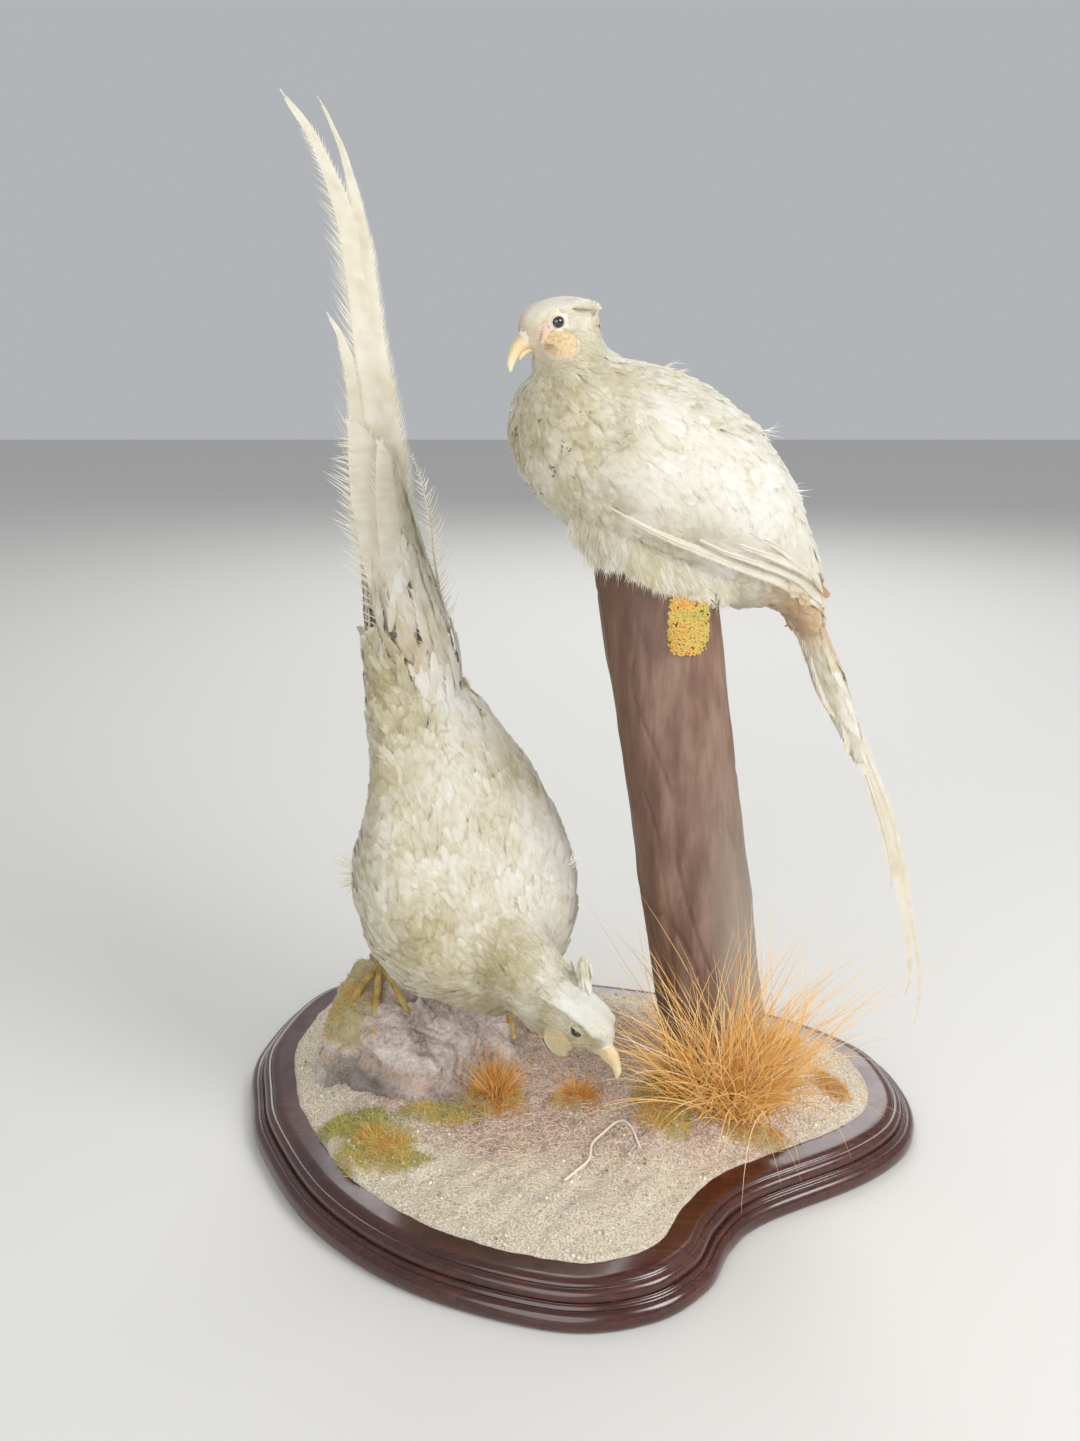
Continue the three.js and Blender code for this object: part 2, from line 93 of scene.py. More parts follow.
def smooth(low, high, x):
    """Rises from 0 at low to 1 at high."""
    t = np.clip((x - low) / (high - low), 0, 1)
    return t * t * (3 - 2 * t)


def spline(points, t, closed=False):
    """A smooth curve through the points; t runs from 0 at the first to 1 at the last."""
    p = np.asarray(points, float)
    if closed:
        p = np.vstack([p[-1:], p, p[:2]])
    else:
        p = np.vstack([2 * p[:1] - p[1:2], p, 2 * p[-1:] - p[-2:-1]])
    x = np.clip(np.asarray(t, float), 0, 1) * (len(p) - 3)
    i = np.minimum(x.astype(int), len(p) - 4)
    f = (x - i)[:, None]
    a, b, c, d = p[i], p[i + 1], p[i + 2], p[i + 3]
    return b + 0.5 * f * (c - a + f * (2 * a - 5 * b + 4 * c - d + f * (3 * (b - c) + d - a)))


def turns(sides):
    """Angles evenly spaced round a full turn."""
    return 2 * math.pi * np.arange(sides) / sides


def run_of(path):
    """How far along a path each of its points lies."""
    return np.concatenate([[0], np.cumsum(np.linalg.norm(np.diff(path, axis=0), axis=1))])


def evened(path, reach=3):
    """One row of a path's numbers, each drawn to the mean of its neighbours."""
    width = 2 * reach + 1
    return np.convolve(np.pad(path, reach, "edge"), np.ones(width) / width, "valid")


def lumps(points, size, seed=0):
    """Smooth random values from -1 to 1, one for each point; size is a lump's width."""
    p = points / size + 100 + 17.37 * seed
    cell = np.floor(p).astype(np.int64)
    f = p - cell
    f = f * f * (3 - 2 * f)
    total = np.zeros(p.shape[:-1])
    for corner in np.ndindex(2, 2, 2):
        key = (cell + corner) @ np.array([73856093, 19349663, 83492791])
        key = (key ^ (key >> 13)) * 1274126177 & 0x7FFFFFFF
        key = (key ^ (key >> 15)) % 10007
        total += (key / 5003.5 - 1) * np.prod(np.where(corner, f, 1 - f), axis=-1)
    return total


def roughen(points, size, octaves=3, seed=0):
    """lumps on smaller and smaller scales, added up."""
    return sum(lumps(points, size / 2 ** k, seed + k) / 2 ** k for k in range(octaves))


def tree_of(points, faces):
    """The mesh as a tree, for finding places on it."""
    return BVHTree.FromPolygons(points.tolist(), [face for group in faces for face in group.tolist()])


def numbers_of(items, key, width, kind=np.float32):
    """One row of width numbers for each of a mesh's items."""
    row = np.empty(len(items) * width, kind)
    items.foreach_get(key, row)
    return row.reshape(-1, width)


def piece(name, points, faces, made_of, values=None, uv=None, stands_for=(), flat=False,
          normals=None):
    """A mesh of points in millimetres. faces is a list of index arrays, values named numbers for each
    point, uv one place for each point, normals the way its surface is shaded."""
    mesh = bpy.data.meshes.new(name)
    loops = np.concatenate([group.ravel() for group in faces]).astype(np.int32)
    counts = np.concatenate([np.full(len(group), group.shape[1]) for group in faces])
    starts = np.concatenate([[0], np.cumsum(counts)[:-1]]).astype(np.int32)
    mesh.vertices.add(len(points))
    mesh.vertices.foreach_set("co", (np.asarray(points) * MM).astype(np.float32).ravel())
    mesh.loops.add(len(loops))
    mesh.loops.foreach_set("vertex_index", loops)
    mesh.polygons.add(len(counts))
    mesh.polygons.foreach_set("loop_start", starts)
    mesh.update(calc_edges=True)
    for key, numbers in (values or {}).items():
        made = mesh.attributes.new(key, "FLOAT", "POINT")
        made.data.foreach_set("value", np.asarray(numbers, np.float32))
    if uv is not None:
        layer = mesh.uv_layers.new(name="OFBake")
        layer.data.foreach_set("uv", np.asarray(uv, np.float32)[loops].ravel())
    if not flat:
        mesh.shade_smooth()
    if normals is not None:
        mesh.normals_split_custom_set_from_vertices(normals)
    mesh.materials.append(made_of)
    made = bpy.data.objects.new(name, mesh)
    bpy.context.scene.collection.objects.link(made)
    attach(made, "root")
    if stands_for:
        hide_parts(*stands_for)
    return made


def joined(shells):
    """Shells of (points, [faces]) as one, each group of equal faces put together."""
    points, groups, start = [], {}, 0
    for shell_points, shell_faces in shells:
        points.append(shell_points)
        for group in shell_faces:
            groups.setdefault(group.shape[1], []).append(group + start)
        start += len(shell_points)
    return np.vstack(points), [np.vstack(group) for group in groups.values()]


def halved(quads):
    """Four-sided faces cut into three-sided ones."""
    return np.vstack([quads[:, :3], quads[:, [0, 2, 3]]])


def copied(faces, count, per):
    """The faces of one thing repeated for count like it, each with per points."""
    return (faces[None] + per * np.arange(count)[:, None, None]).reshape(-1, faces.shape[1])


def lofted(rings, capped=True):
    """A closed shell through rings, an array of (ring, side, xyz)."""
    count, sides, _ = rings.shape
    ring, side = np.meshgrid(np.arange(count - 1), np.arange(sides), indexing="ij")
    after = (side + 1) % sides
    quads = np.stack([ring * sides + side, ring * sides + after,
                      (ring + 1) * sides + after, (ring + 1) * sides + side], -1).reshape(-1, 4)
    points = rings.reshape(-1, 3)
    if not capped:
        return points, [quads]
    points = np.vstack([points, rings[0].mean(0), rings[-1].mean(0)])
    j = np.arange(sides)
    first = np.stack([(j + 1) % sides, j, np.full(sides, count * sides)], -1)
    last = np.stack([j, (j + 1) % sides, np.full(sides, count * sides + 1)], -1)
    last[:, :2] += (count - 1) * sides
    return points, [quads, np.vstack([first, last])]


def swept(stations, steps, sides, back, power=2.2):
    """Rings along a spine, their backs turned to back. Each station is x, y, z, and the ring's half
    width and how far it reaches up and down; a power over 2 makes it squarer."""
    rows = np.asarray(stations, float)
    t = np.linspace(0, 1, steps + 1)
    at, size = spline(rows[:, :3], t), spline(rows[:, 3:], t)
    ahead = unit(np.gradient(at, axis=0))
    back = np.asarray(back, float)
    up = unit(back - (ahead @ back)[:, None] * ahead)
    left = np.cross(up, ahead)
    turn = turns(sides)
    across = np.sign(np.cos(turn)) * np.abs(np.cos(turn)) ** (2 / power)
    high = np.sign(np.sin(turn)) * np.abs(np.sin(turn)) ** (2 / power)
    reach = np.where(high > 0, size[:, 1:2], size[:, 2:3]) * high
    return (at[:, None] + left[:, None] * (across * size[:, :1])[..., None]
            + up[:, None] * reach[..., None])


def tube(path, radii, sides=6):
    """A round rod along a path with a radius at each of its points."""
    path = np.asarray(path, float)
    ahead = unit(np.gradient(path, axis=0))
    spare = np.array([0.31, -0.52, 0.79])
    one = unit(np.cross(ahead, spare))
    two = np.cross(ahead, one)
    turn = turns(sides)
    ring = one[:, None] * np.cos(turn)[:, None] + two[:, None] * np.sin(turn)[:, None]
    return lofted(path[:, None] + ring * np.asarray(radii, float).reshape(-1, 1, 1))


# ---------- camera, light and floor ----------
camera = bpy.data.objects.new("camera", bpy.data.cameras.new("camera"))
camera.location = (-0.029, -0.909, 0.597)
camera.rotation_euler = (math.radians(90 - 17.1), 0, 0)
camera.data.lens = 35.0
camera.data.sensor_width = 36.0
camera.data.clip_start = 0.01
bpy.context.scene.collection.objects.link(camera)
bpy.context.scene.camera = camera
bpy.context.scene.view_settings.view_transform = "Standard"

LIGHTS = {  # soft boxes: place and target in metres, width, watts
    "key_light": ((1.4, -0.9, 1.35), (0, 0, 0.3), 1.1, 26),
    "fill_light": ((-0.5, -1.7, 0.9), (0, 0, 0.3), 1.7, 17),
    "back_light": ((0.3, 2.0, 1.7), (0, 0, 0.2), 2.0, 26),
}
for name, (place, target, width, watts) in LIGHTS.items():
    light = bpy.data.objects.new(name, bpy.data.lights.new(name, "AREA"))
    light.data.shape = "DISK"
    light.data.size = width
    light.data.energy = watts
    light.location = place
    light.rotation_euler = (Vector(target) - Vector(place)).to_track_quat("-Z", "Y").to_euler()
    bpy.context.scene.collection.objects.link(light)

world = bpy.data.worlds.new("studio")
world.use_nodes = True
world.node_tree.nodes["Background"].inputs["Color"].default_value = colour("#dfe2e6")
world.node_tree.nodes["Background"].inputs["Strength"].default_value = 0.6
bpy.context.scene.world = world


def painted_floor(add):
    """A plain floor with a matt coat of paint."""
    return add("BsdfPrincipled", {"Base Color": "#d9d7d2", "Roughness": 0.7})


floor_mesh = bpy.data.meshes.new("floor")
floor_mesh.from_pydata([(-5, -5, 0), (5, -5, 0), (5, 5, 0), (-5, 5, 0)], [], [(0, 1, 2, 3)])
floor_mesh.materials.append(finish("painted_floor", painted_floor))
floor = bpy.data.objects.new("floor", floor_mesh)
bpy.context.scene.collection.objects.link(floor)


# ---------- finishes ----------
def plumage(add):
    """White feathers that have yellowed and gathered dust: matt, with a silky sheen along the barbs, and
    thin enough that a third of the light comes through, which keeps the gaps between them soft. Stains
    drift over about 40 mm and streaks over 8 mm, single feathers differ a little from their neighbours,
    and brown flecks are 2 mm wide. Painted shade darkens each feather towards its root, where the
    feathers over it cover it."""
    place = add("TexCoord").outputs["Object"]
    patch = add("TexNoise", {"Vector": place, "Scale": 26.0, "Detail": 3.0, "Roughness": 0.6})
    streak = add("TexNoise", {"Vector": place, "Scale": 120.0, "Detail": 2.0})
    total = "stain"
    for part, share in ((patch, 0.36), (streak, 0.25), ("tone", 0.3)):
        total = add("Math", {0: part, 1: share, 2: total}, operation="MULTIPLY_ADD")
    shade = add("ValToRGB", {"Fac": total}, stops=[
        (0.2, "#f8f6ef"), (0.42, "#efebdc"), (0.62, "#ded6bb"), (0.82, "#cabf97"), (1.0, "#b9ac7f")])
    shade = add("MixRGB", {"Fac": "buff", "Color1": shade, "Color2": "#dcb98c"})
    # painted shade: each feather darker towards its root, under the feathers that lie over it
    root = add("MapRange", {"Value": "along", "From Min": 0.0, "From Max": 0.5, "To Min": 0.86,
                            "To Max": 1.0})
    shade = add("MixRGB", {"Fac": 1.0, "Color1": shade, "Color2": root}, blend_type="MULTIPLY")
    fleck = add("TexNoise", {"Vector": place, "Scale": 420.0, "Detail": 2.0})
    fleck = add("MapRange", {"Value": fleck, "From Min": 0.48, "From Max": 0.6})
    fleck = add("Math", {0: fleck, 1: "speck"}, operation="MULTIPLY", use_clamp=True)
    shade = add("MixRGB", {"Fac": fleck, "Color1": shade, "Color2": "#8a745e"})
    vane = add("BsdfPrincipled", {"Base Color": shade, "Roughness": 0.72, "Specular IOR Level": 0.3,
                                  "Sheen Weight": 0.25, "Sheen Roughness": 0.5})
    through = add("BsdfTranslucent", {"Color": shade})
    return add("MixShader", {0: 0.33, 1: vane, 2: through})


def face_skin(add):
    """The dried skin of the face: bare ochre wattle with fine pimples about 0.7 mm apart, a pale
    eyelid, and the same white plumage colour elsewhere. Painted shade makes it dark brown in the crease
    before the eye and at the corner of the mouth, and darker under the cock's brows."""
    place = add("TexCoord").outputs["Object"]
    patch = add("TexNoise", {"Vector": place, "Scale": 26.0, "Detail": 3.0, "Roughness": 0.6})
    total = add("Math", {0: patch, 1: 0.5, 2: "stain"}, operation="MULTIPLY_ADD")
    shade = add("ValToRGB", {"Fac": total}, stops=[
        (0.15, "#efebdf"), (0.35, "#e9e3d2"), (0.6, "#d8cfb4"), (0.85, "#bdb189")])
    mottle = add("TexNoise", {"Vector": place, "Scale": 420.0, "Detail": 3.0})
    bare = add("ValToRGB", {"Fac": mottle}, stops=[
        (0.35, "#c2a678"), (0.5, "#d2b98e"), (0.68, "#decaa6")])
    bare = add("MixRGB", {"Fac": "pink", "Color1": bare, "Color2": "#d8b397"})
    # dark is painted shade, in the crease before the eye and at the corner of the mouth
    for mark, over in (("wattle", bare), ("lid", "#dcd5c5"), ("dark", "#6f5a45")):
        shade = add("MixRGB", {"Fac": mark, "Color1": shade, "Color2": over})
    pimples = add("TexVoronoi", {"Vector": place, "Scale": 1400.0})
    bump = add("Bump", {"Height": pimples, "Strength": 0.25, "Distance": 0.0002})
    return add("BsdfPrincipled", {"Base Color": shade, "Roughness": 0.75, "Normal": bump,
                                  "Specular IOR Level": 0.25})


def bill_horn(add):
    """Horn of the bill: waxy and slightly see-through, yellow at the tip and peach at the root, with
    growth lines about 1 mm apart along it."""
    place = add("TexCoord").outputs["Object"]
    cloud = add("TexNoise", {"Vector": place, "Scale": 250.0, "Detail": 2.0})
    total = add("Math", {0: cloud, 1: 0.25, 2: "along"}, operation="MULTIPLY_ADD")
    shade = add("ValToRGB", {"Fac": total}, stops=[
        (0.15, "#c9b08d"), (0.4, "#dabf93"), (0.7, "#dfcb9c"), (1.0, "#e8dcb6")])
    line = add("TexWave", {"Vector": place, "Scale": 300.0, "Distortion": 4.0})
    bump = add("Bump", {"Height": line, "Strength": 0.12, "Distance": 0.0002})
    return add("BsdfPrincipled", {
        "Base Color": shade, "Roughness": 0.38, "Normal": bump, "Subsurface Weight": 0.1,
        "Subsurface Radius": (0.002, 0.0012, 0.0008), "Subsurface Scale": 1.0})


def glass_eye(add):
    """A taxidermist's glass eye: clear polished glass over a black pupil and a dark brown iris."""
    shade = add("ValToRGB", {"Fac": "along"}, stops=[
        (0.0, "#050404"), (0.30, "#060505"), (0.36, "#3a261a"), (0.62, "#4a3122"), (0.78, "#140d0a")])
    return add("BsdfPrincipled", {"Base Color": shade, "Roughness": 0.04, "IOR": 1.52, "Coat Weight": 1.0,
                                  "Coat Roughness": 0.02})


def leg_scales(add):
    """Dried scaly leg skin: yellow ochre, browner between the scales, which are about 1.3 mm wide."""
    place = add("TexCoord").outputs["Object"]
    cloud = add("TexNoise", {"Vector": place, "Scale": 90.0, "Detail": 3.0})
    shade = add("ValToRGB", {"Fac": cloud}, stops=[(0.3, "#8f7338"), (0.5, "#b0934f"), (0.7, "#c9b06c")])
    shade = add("MixRGB", {"Fac": "claw", "Color1": shade, "Color2": "#a58d62"})
    scales = add("TexVoronoi", {"Vector": place, "Scale": 750.0})
    bump = add("Bump", {"Height": scales, "Strength": 0.4, "Distance": 0.0003})
    return add("BsdfPrincipled", {"Base Color": shade, "Roughness": 0.5, "Normal": bump})


def polished_mahogany(add):
    """French-polished mahogany: dark red brown with fine straight grain about 2 mm apart under a
    glossy film, a little hazy where it was handled."""
    place = add("TexCoord").outputs["Object"]
    grain_place = add("Mapping", {"Vector": place, "Scale": (18.0, 420.0, 420.0)})
    grain = add("TexNoise", {"Vector": grain_place, "Scale": 1.0, "Detail": 5.0, "Roughness": 0.65})
    cloud = add("TexNoise", {"Vector": place, "Scale": 14.0, "Detail": 2.0})
    total = add("Math", {0: cloud, 1: 0.5, 2: grain}, operation="MULTIPLY_ADD")
    shade = add("ValToRGB", {"Fac": total}, stops=[
        (0.45, "#200e0b"), (0.65, "#35150f"), (0.82, "#471d14"), (0.98, "#5b2a1c")])
    haze = add("TexNoise", {"Vector": place, "Scale": 55.0, "Detail": 4.0})
    rough = add("MapRange", {"Value": haze, "From Min": 0.35, "From Max": 0.7, "To Min": 0.16,
                             "To Max": 0.34})
    bump = add("Bump", {"Height": grain, "Strength": 0.06, "Distance": 0.0002})
    return add("BsdfPrincipled", {"Base Color": shade, "Roughness": rough, "Normal": bump,
                                  "Coat Weight": 0.6, "Coat Roughness": 0.12})


def sanded_groundwork(add):
    """Modelled groundwork: glue and sand in grains of about 1.5 mm, pale tan, with pinkish grey matted
    fibre in the middle, soil in clods of 8 mm, and olive under the moss."""
    place = add("TexCoord").outputs["Object"]
    grit = add("TexNoise", {"Vector": place, "Scale": 700.0, "Detail": 3.0, "Roughness": 0.7})
    clod = add("TexNoise", {"Vector": place, "Scale": 120.0, "Detail": 5.0, "Roughness": 0.7})
    patch = add("TexNoise", {"Vector": place, "Scale": 22.0, "Detail": 4.0, "Roughness": 0.65})
    sand = add("ValToRGB", {"Fac": grit}, stops=[
        (0.3, "#948571"), (0.45, "#cbbda6"), (0.6, "#e6dbc8"), (0.74, "#f8f2e6")])
    felt = add("ValToRGB", {"Fac": grit}, stops=[(0.3, "#7f6456"), (0.5, "#c5ab9a"), (0.7, "#ecdccf")])
    middle = add("Math", {0: patch, 1: 0.9, 2: "felt"}, operation="MULTIPLY_ADD")
    middle = add("MapRange", {"Value": middle, "From Min": 0.54, "From Max": 0.86})
    shade = add("MixRGB", {"Fac": middle, "Color1": sand, "Color2": felt})
    soil = add("MapRange", {"Value": clod, "From Min": 0.49, "From Max": 0.64, "To Max": 0.6})
    soil = add("Math", {0: soil, 1: middle}, operation="MULTIPLY")
    shade = add("MixRGB", {"Fac": soil, "Color1": shade, "Color2": "#8d6f57"})
    moss = add("Math", {0: clod, 1: 1.2, 2: "moss"}, operation="MULTIPLY_ADD")
    moss = add("MapRange", {"Value": moss, "From Min": 0.8, "From Max": 1.4, "To Max": 0.85})
    shade = add("MixRGB", {"Fac": moss, "Color1": shade, "Color2": "#a2935a"})
    height = add("Math", {0: clod, 1: 2.0, 2: grit}, operation="MULTIPLY_ADD")
    bump = add("Bump", {"Height": height, "Strength": 0.9, "Distance": 0.0012})
    return add("BsdfPrincipled", {"Base Color": shade, "Roughness": 0.92, "Normal": bump})


def tinted(add, stops, roughness):
    """Small loose things, each its own shade between the given ones, from its tone."""
    shade = add("ValToRGB", {"Fac": "tone"}, stops=stops)
    return add("BsdfPrincipled", {"Base Color": shade, "Roughness": roughness})


def modelled_rock(add):
    """A rock modelled in papier-mache: dull, grey and purplish grey in patches of 25 mm with 2 mm
    grains, and with rust and olive brushed on."""
    place = add("TexCoord").outputs["Object"]
    coarse = add("TexNoise", {"Vector": place, "Scale": 38.0, "Detail": 5.0, "Roughness": 0.65})
    fine = add("TexNoise", {"Vector": place, "Scale": 420.0, "Detail": 3.0})
    total = add("Math", {0: fine, 1: 0.4, 2: coarse}, operation="MULTIPLY_ADD")
    shade = add("ValToRGB", {"Fac": total}, stops=[
        (0.45, "#6f625c"), (0.6, "#a3938b"), (0.75, "#c8bab0"), (0.9, "#e3d9cf")])
    for mark, code in (("dark", "#4c4640"), ("rust", "#a8764f"), ("moss", "#a3965a")):
        share = add("Math", {0: coarse, 1: 1.5, 2: mark}, operation="MULTIPLY_ADD")
        share = add("MapRange", {"Value": share, "From Min": 1.05, "From Max": 1.75, "To Max": 0.7})
        shade = add("MixRGB", {"Fac": share, "Color1": shade, "Color2": code})
    bump = add("Bump", {"Height": total, "Strength": 1.0, "Distance": 0.003})
    return add("BsdfPrincipled", {"Base Color": shade, "Roughness": 0.85, "Normal": bump})


def painted_stump(add):
    """The post: a stump modelled and painted taupe brown, satin, in folds about 11 mm apart that run up
    it. Light and shade are painted on too: greyer and paler on its lit side, darker brown towards the
    other side and on its top under the bird."""
    place = add("TexCoord").outputs["Object"]
    long_place = add("Mapping", {"Vector": place, "Scale": (90.0, 90.0, 16.0)})
    folds = add("TexNoise", {"Vector": long_place, "Scale": 1.0, "Detail": 5.0, "Roughness": 0.6})
    cloud = add("TexNoise", {"Vector": place, "Scale": 16.0, "Detail": 3.0})
    total = add("Math", {0: cloud, 1: 0.5, 2: folds}, operation="MULTIPLY_ADD")
    shade = add("ValToRGB", {"Fac": total}, stops=[
        (0.45, "#50392b"), (0.7, "#725445"), (0.95, "#8f7260")])
    # painted light and shade: grey on the lit side, dark brown on the shaded side and the top
    for mark, code in (("grey", "#a59a8a"), ("rust", "#5f3f29")):
        shade = add("MixRGB", {"Fac": mark, "Color1": shade, "Color2": code})
    bump = add("Bump", {"Height": folds, "Strength": 0.8, "Distance": 0.002})
    return add("BsdfPrincipled", {"Base Color": shade, "Roughness": 0.48, "Normal": bump})


PLUMAGE = finish("white_plumage", plumage)
FACE_SKIN = finish("face_skin", face_skin)
HORN = finish("bill_horn", bill_horn)
GLASS_EYE = finish("glass_eye", glass_eye)
LEG_SCALES = finish("leg_scales", leg_scales)
MAHOGANY = finish("polished_mahogany", polished_mahogany)
SANDED_GROUND = finish("sanded_groundwork", sanded_groundwork)
# Crushed granite and quartz sand, matt with a few glassy grains.
GRIT = finish("grit", tinted, [
    (0.0, "#7d6e5a"), (0.25, "#b7a58a"), (0.6, "#dccdae"), (0.9, "#f0e7cf"), (1.0, "#f4efe2")], 0.7)
# Dyed and dried moss and lichen: dull, green at low tones, through yellow, to orange.
MOSS = finish("dried_moss", tinted, [
    (0.0, "#8a9150"), (0.25, "#aaa65a"), (0.5, "#cbb765"), (0.75, "#d9ab58"), (1.0, "#cf8c50")], 0.9)
# Dried grass, dyed orange, with a faint gloss: rust at the root, straw at the tips.
STRAW = finish("dried_grass", tinted, [
    (0.0, "#a0672e"), (0.3, "#d6973f"), (0.6, "#ecbd70"), (0.85, "#f0d3a2"), (1.0, "#e6dac8")], 0.55)
MODELLED_ROCK = finish("modelled_rock", modelled_rock)
PAINTED_STUMP = finish("painted_stump", painted_stump)

# ---------- board ----------
BOARD_TOP = 25.0
OUTLINE = [
    (-254, 90), (-245, 10), (-227, -44), (-181, -121), (-112, -181), (-22, -216), (38, -210), (76, -181),
    (95, -144), (122, -115), (200, -70), (240, -28), (250, 28), (228, 92), (150, 152), (20, 196),
    (-110, 214), (-215, 188)]
# The edge moulding from the underside up: a large round lip, a bead, a groove, a second step, a fine
# groove and the flat band. Each step is (distance in from the outline, height).
MOULDING = [(3, 0), (1.2, 0.8), (0.2, 2.6), (0, 5), (0.2, 7.6), (1.2, 10.2), (2.8, 12), (4.6, 12.9),
            (5.6, 12.9), (6, 12.2), (6.6, 12.3), (7, 13.4), (7.6, 14.4), (8.4, 14.8), (9, 14.5),
            (9.3, 13.6), (9.8, 13.4), (10.1, 14.6), (10.2, 17.4), (10.6, 19.2), (11.6, 20.8),
            (13.2, 21.9), (14.8, 22.3), (15.4, 21.7), (15.9, 21.8), (16.3, 22.8), (17, 23.6),
            (18.4, 24.3), (20.5, 24.8), (23, BOARD_TOP)]
BOARD_MIDDLE = (0, -10)


def outline_ring(inset, count):
    """Places round the board's outline, evenly spaced and moved in by inset."""
    fine = spline(OUTLINE, np.linspace(0, 1, 4001), closed=True)
    far = run_of(fine)
    at = np.linspace(0, far[-1], count, endpoint=False)
    ring = np.stack([np.interp(at, far, fine[:, k]) for k in (0, 1)], -1)
    ahead = unit(np.roll(ring, -1, 0) - np.roll(ring, 1, 0))
    return ring + inset * np.stack([-ahead[:, 1], ahead[:, 0]], -1)


def build_board():
    """The mahogany board: its outline run through every step of the moulding."""
    count = 420
    rings = [np.column_stack([outline_ring(inset, count), np.full(count, height)])
             for inset, height in MOULDING]
    inner = rings[-1]
    for share in (0.25, 0.6):
        rings.append(inner * (1 - share) + np.array([*BOARD_MIDDLE, BOARD_TOP]) * share)
    points, faces = lofted(np.array(rings))
    points[-2:] = [[*BOARD_MIDDLE, 0], [*BOARD_MIDDLE, BOARD_TOP]]
    piece("mahogany_board", points, faces, MAHOGANY, stands_for=["board"])


build_board()

# ---------- groundwork ----------
BARE_BAND = 34.0  # of polished wood between the board's outline and the groundwork
GROUND_EDGE = 2.5  # how far its rim stands above the board
# Each mound: its middle, how high it rises and how far it spreads.
MOUNDS = [
    (100, -22, 36, 66), (168, 30, 14, 60), (-95, 75, 20, 80), (-165, -40, 8, 46), (50, -80, 8, 30),
    (20, 110, 16, 75)]


def ground_height(x, y, from_edge):
    """The groundwork's height at a place that lies from_edge inside its rim."""
    height = 8 * smooth(0, 40, from_edge)
    for at_x, at_y, rise, spread in MOUNDS:
        far = np.hypot(x - at_x, y - at_y) / spread
        height = height + rise * np.exp(-far * far) * smooth(0, 70, from_edge)
    ripple = np.sin(x * 0.11 + 1.3) * np.cos(y * 0.13) + 0.6 * np.sin(x * 0.23 - y * 0.19)
    return BOARD_TOP + GROUND_EDGE + height + 0.9 * ripple * smooth(0, 30, from_edge)


# Moss on the ground: middle, half width, half depth, height above the ground, and tone (green to rust).
MOSS_BEDS = [
    (57, -67, 20, 16, 10, 0.72), (-142, -79, 30, 21, 8, 0.58), (-160, -52, 32, 12, 6, 0.15),
    (-61, -30, 25, 18, 8, 0.8), (-4, -30, 19, 13, 6, 0.85), (72, -42, 36, 22, 9, 0.28),
    (150, 12, 22, 15, 6, 0.8), (-180, 45, 14, 26, 4, 0.45), (-118, -96, 20, 10, 5, 0.4),
    (118, -62, 28, 11, 5, 0.8), (182, -10, 17, 11, 5, 0.95), (-100, -46, 34, 10, 6, 0.4)]


def bed_share(x, y):
    """How far inside a moss bed a place is, from 0 to 1, and that bed's height and tone."""
    share, rise, tone = np.zeros_like(x), np.zeros_like(x), np.zeros_like(x)
    ragged = 1 + 0.3 * roughen(np.stack([x, y, 0 * x], -1), 12, 2, 21)
    for at_x, at_y, wide, deep, height, hue in MOSS_BEDS:
        far = np.hypot((x - at_x) / wide, (y - at_y) / deep) * ragged
        here = smooth(1.15, 0.5, far)
        better = here > share
        share = np.where(better, here, share)
        rise = np.where(better, height, rise)
        tone = np.where(better, hue, tone)
    return share, rise, tone


def ground_rings():
    """The groundwork's surface as rings from its rim to its middle, and its share of moss."""
    count, bands = 460, 110
    rim = outline_ring(BARE_BAND, count)
    rim += 0.8 * lumps(np.column_stack([rim, np.zeros(count)]), 9, 3)[:, None] * unit(rim)
    share = np.linspace(0, 1, bands)[:, None, None]
    flat = rim[None] * (1 - share) + np.array(BOARD_MIDDLE) * share
    x, y = flat[..., 0], flat[..., 1]
    from_edge = np.linalg.norm(flat - rim[None], axis=-1)
    flat3 = np.stack([x, y, np.zeros_like(x)], -1)
    height = ground_height(x, y, from_edge)
    rough = 0.6 + 0.8 * smooth(1.2, 0.6, np.hypot((x - 20) / 190, (y - 10) / 120))
    height += (rough * (1.7 * roughen(flat3, 15, 3, 1) + 0.6 * lumps(flat3, 2.8, 5))
               * smooth(0, 12, from_edge))
    bed, rise, _ = bed_share(x, y)
    height += bed * rise * (0.8 + 0.35 * lumps(flat3, 5, 17))
    height[0] = BOARD_TOP + 0.1
    height[1] = BOARD_TOP + 1.6 + 0.5 * lumps(flat3[1], 4, 8)
    return np.dstack([x, y, height]), bed


def build_groundwork():
    """The sanded ground, closed just above the board."""
    rings, bed = ground_rings()
    under = rings[0].copy()
    under[:, 2] = BOARD_TOP + 0.05
    points, faces = lofted(np.concatenate([under[None], rings]))
    x, y = points[:, 0], points[:, 1]
    felt = smooth(1.2, 0.5, np.hypot((x - 10) / 200, (y + 5) / 105)) * 0.55
    moss = np.concatenate([bed[:1].ravel(), bed.ravel(), [0, 0]]) * 0.8
    piece("sanded_ground", points, faces, SANDED_GROUND, {"felt": felt, "moss": moss},
          stands_for=["groundwork"])
    return tree_of(points, faces)


ground_tree = build_groundwork()


def drop(tree, x, y):
    """The surface under a place seen from above: height and normal, or None."""
    place, normal, _, _ = tree.ray_cast(Vector((x, y, 500)), Vector((0, 0, -1)))
    return (place, normal) if place else (None, None)


# ---------- rock ----------
ROCK = {"at": (-120, 41), "wide": 88, "deep": 72, "top": 87, "turn": -0.12}


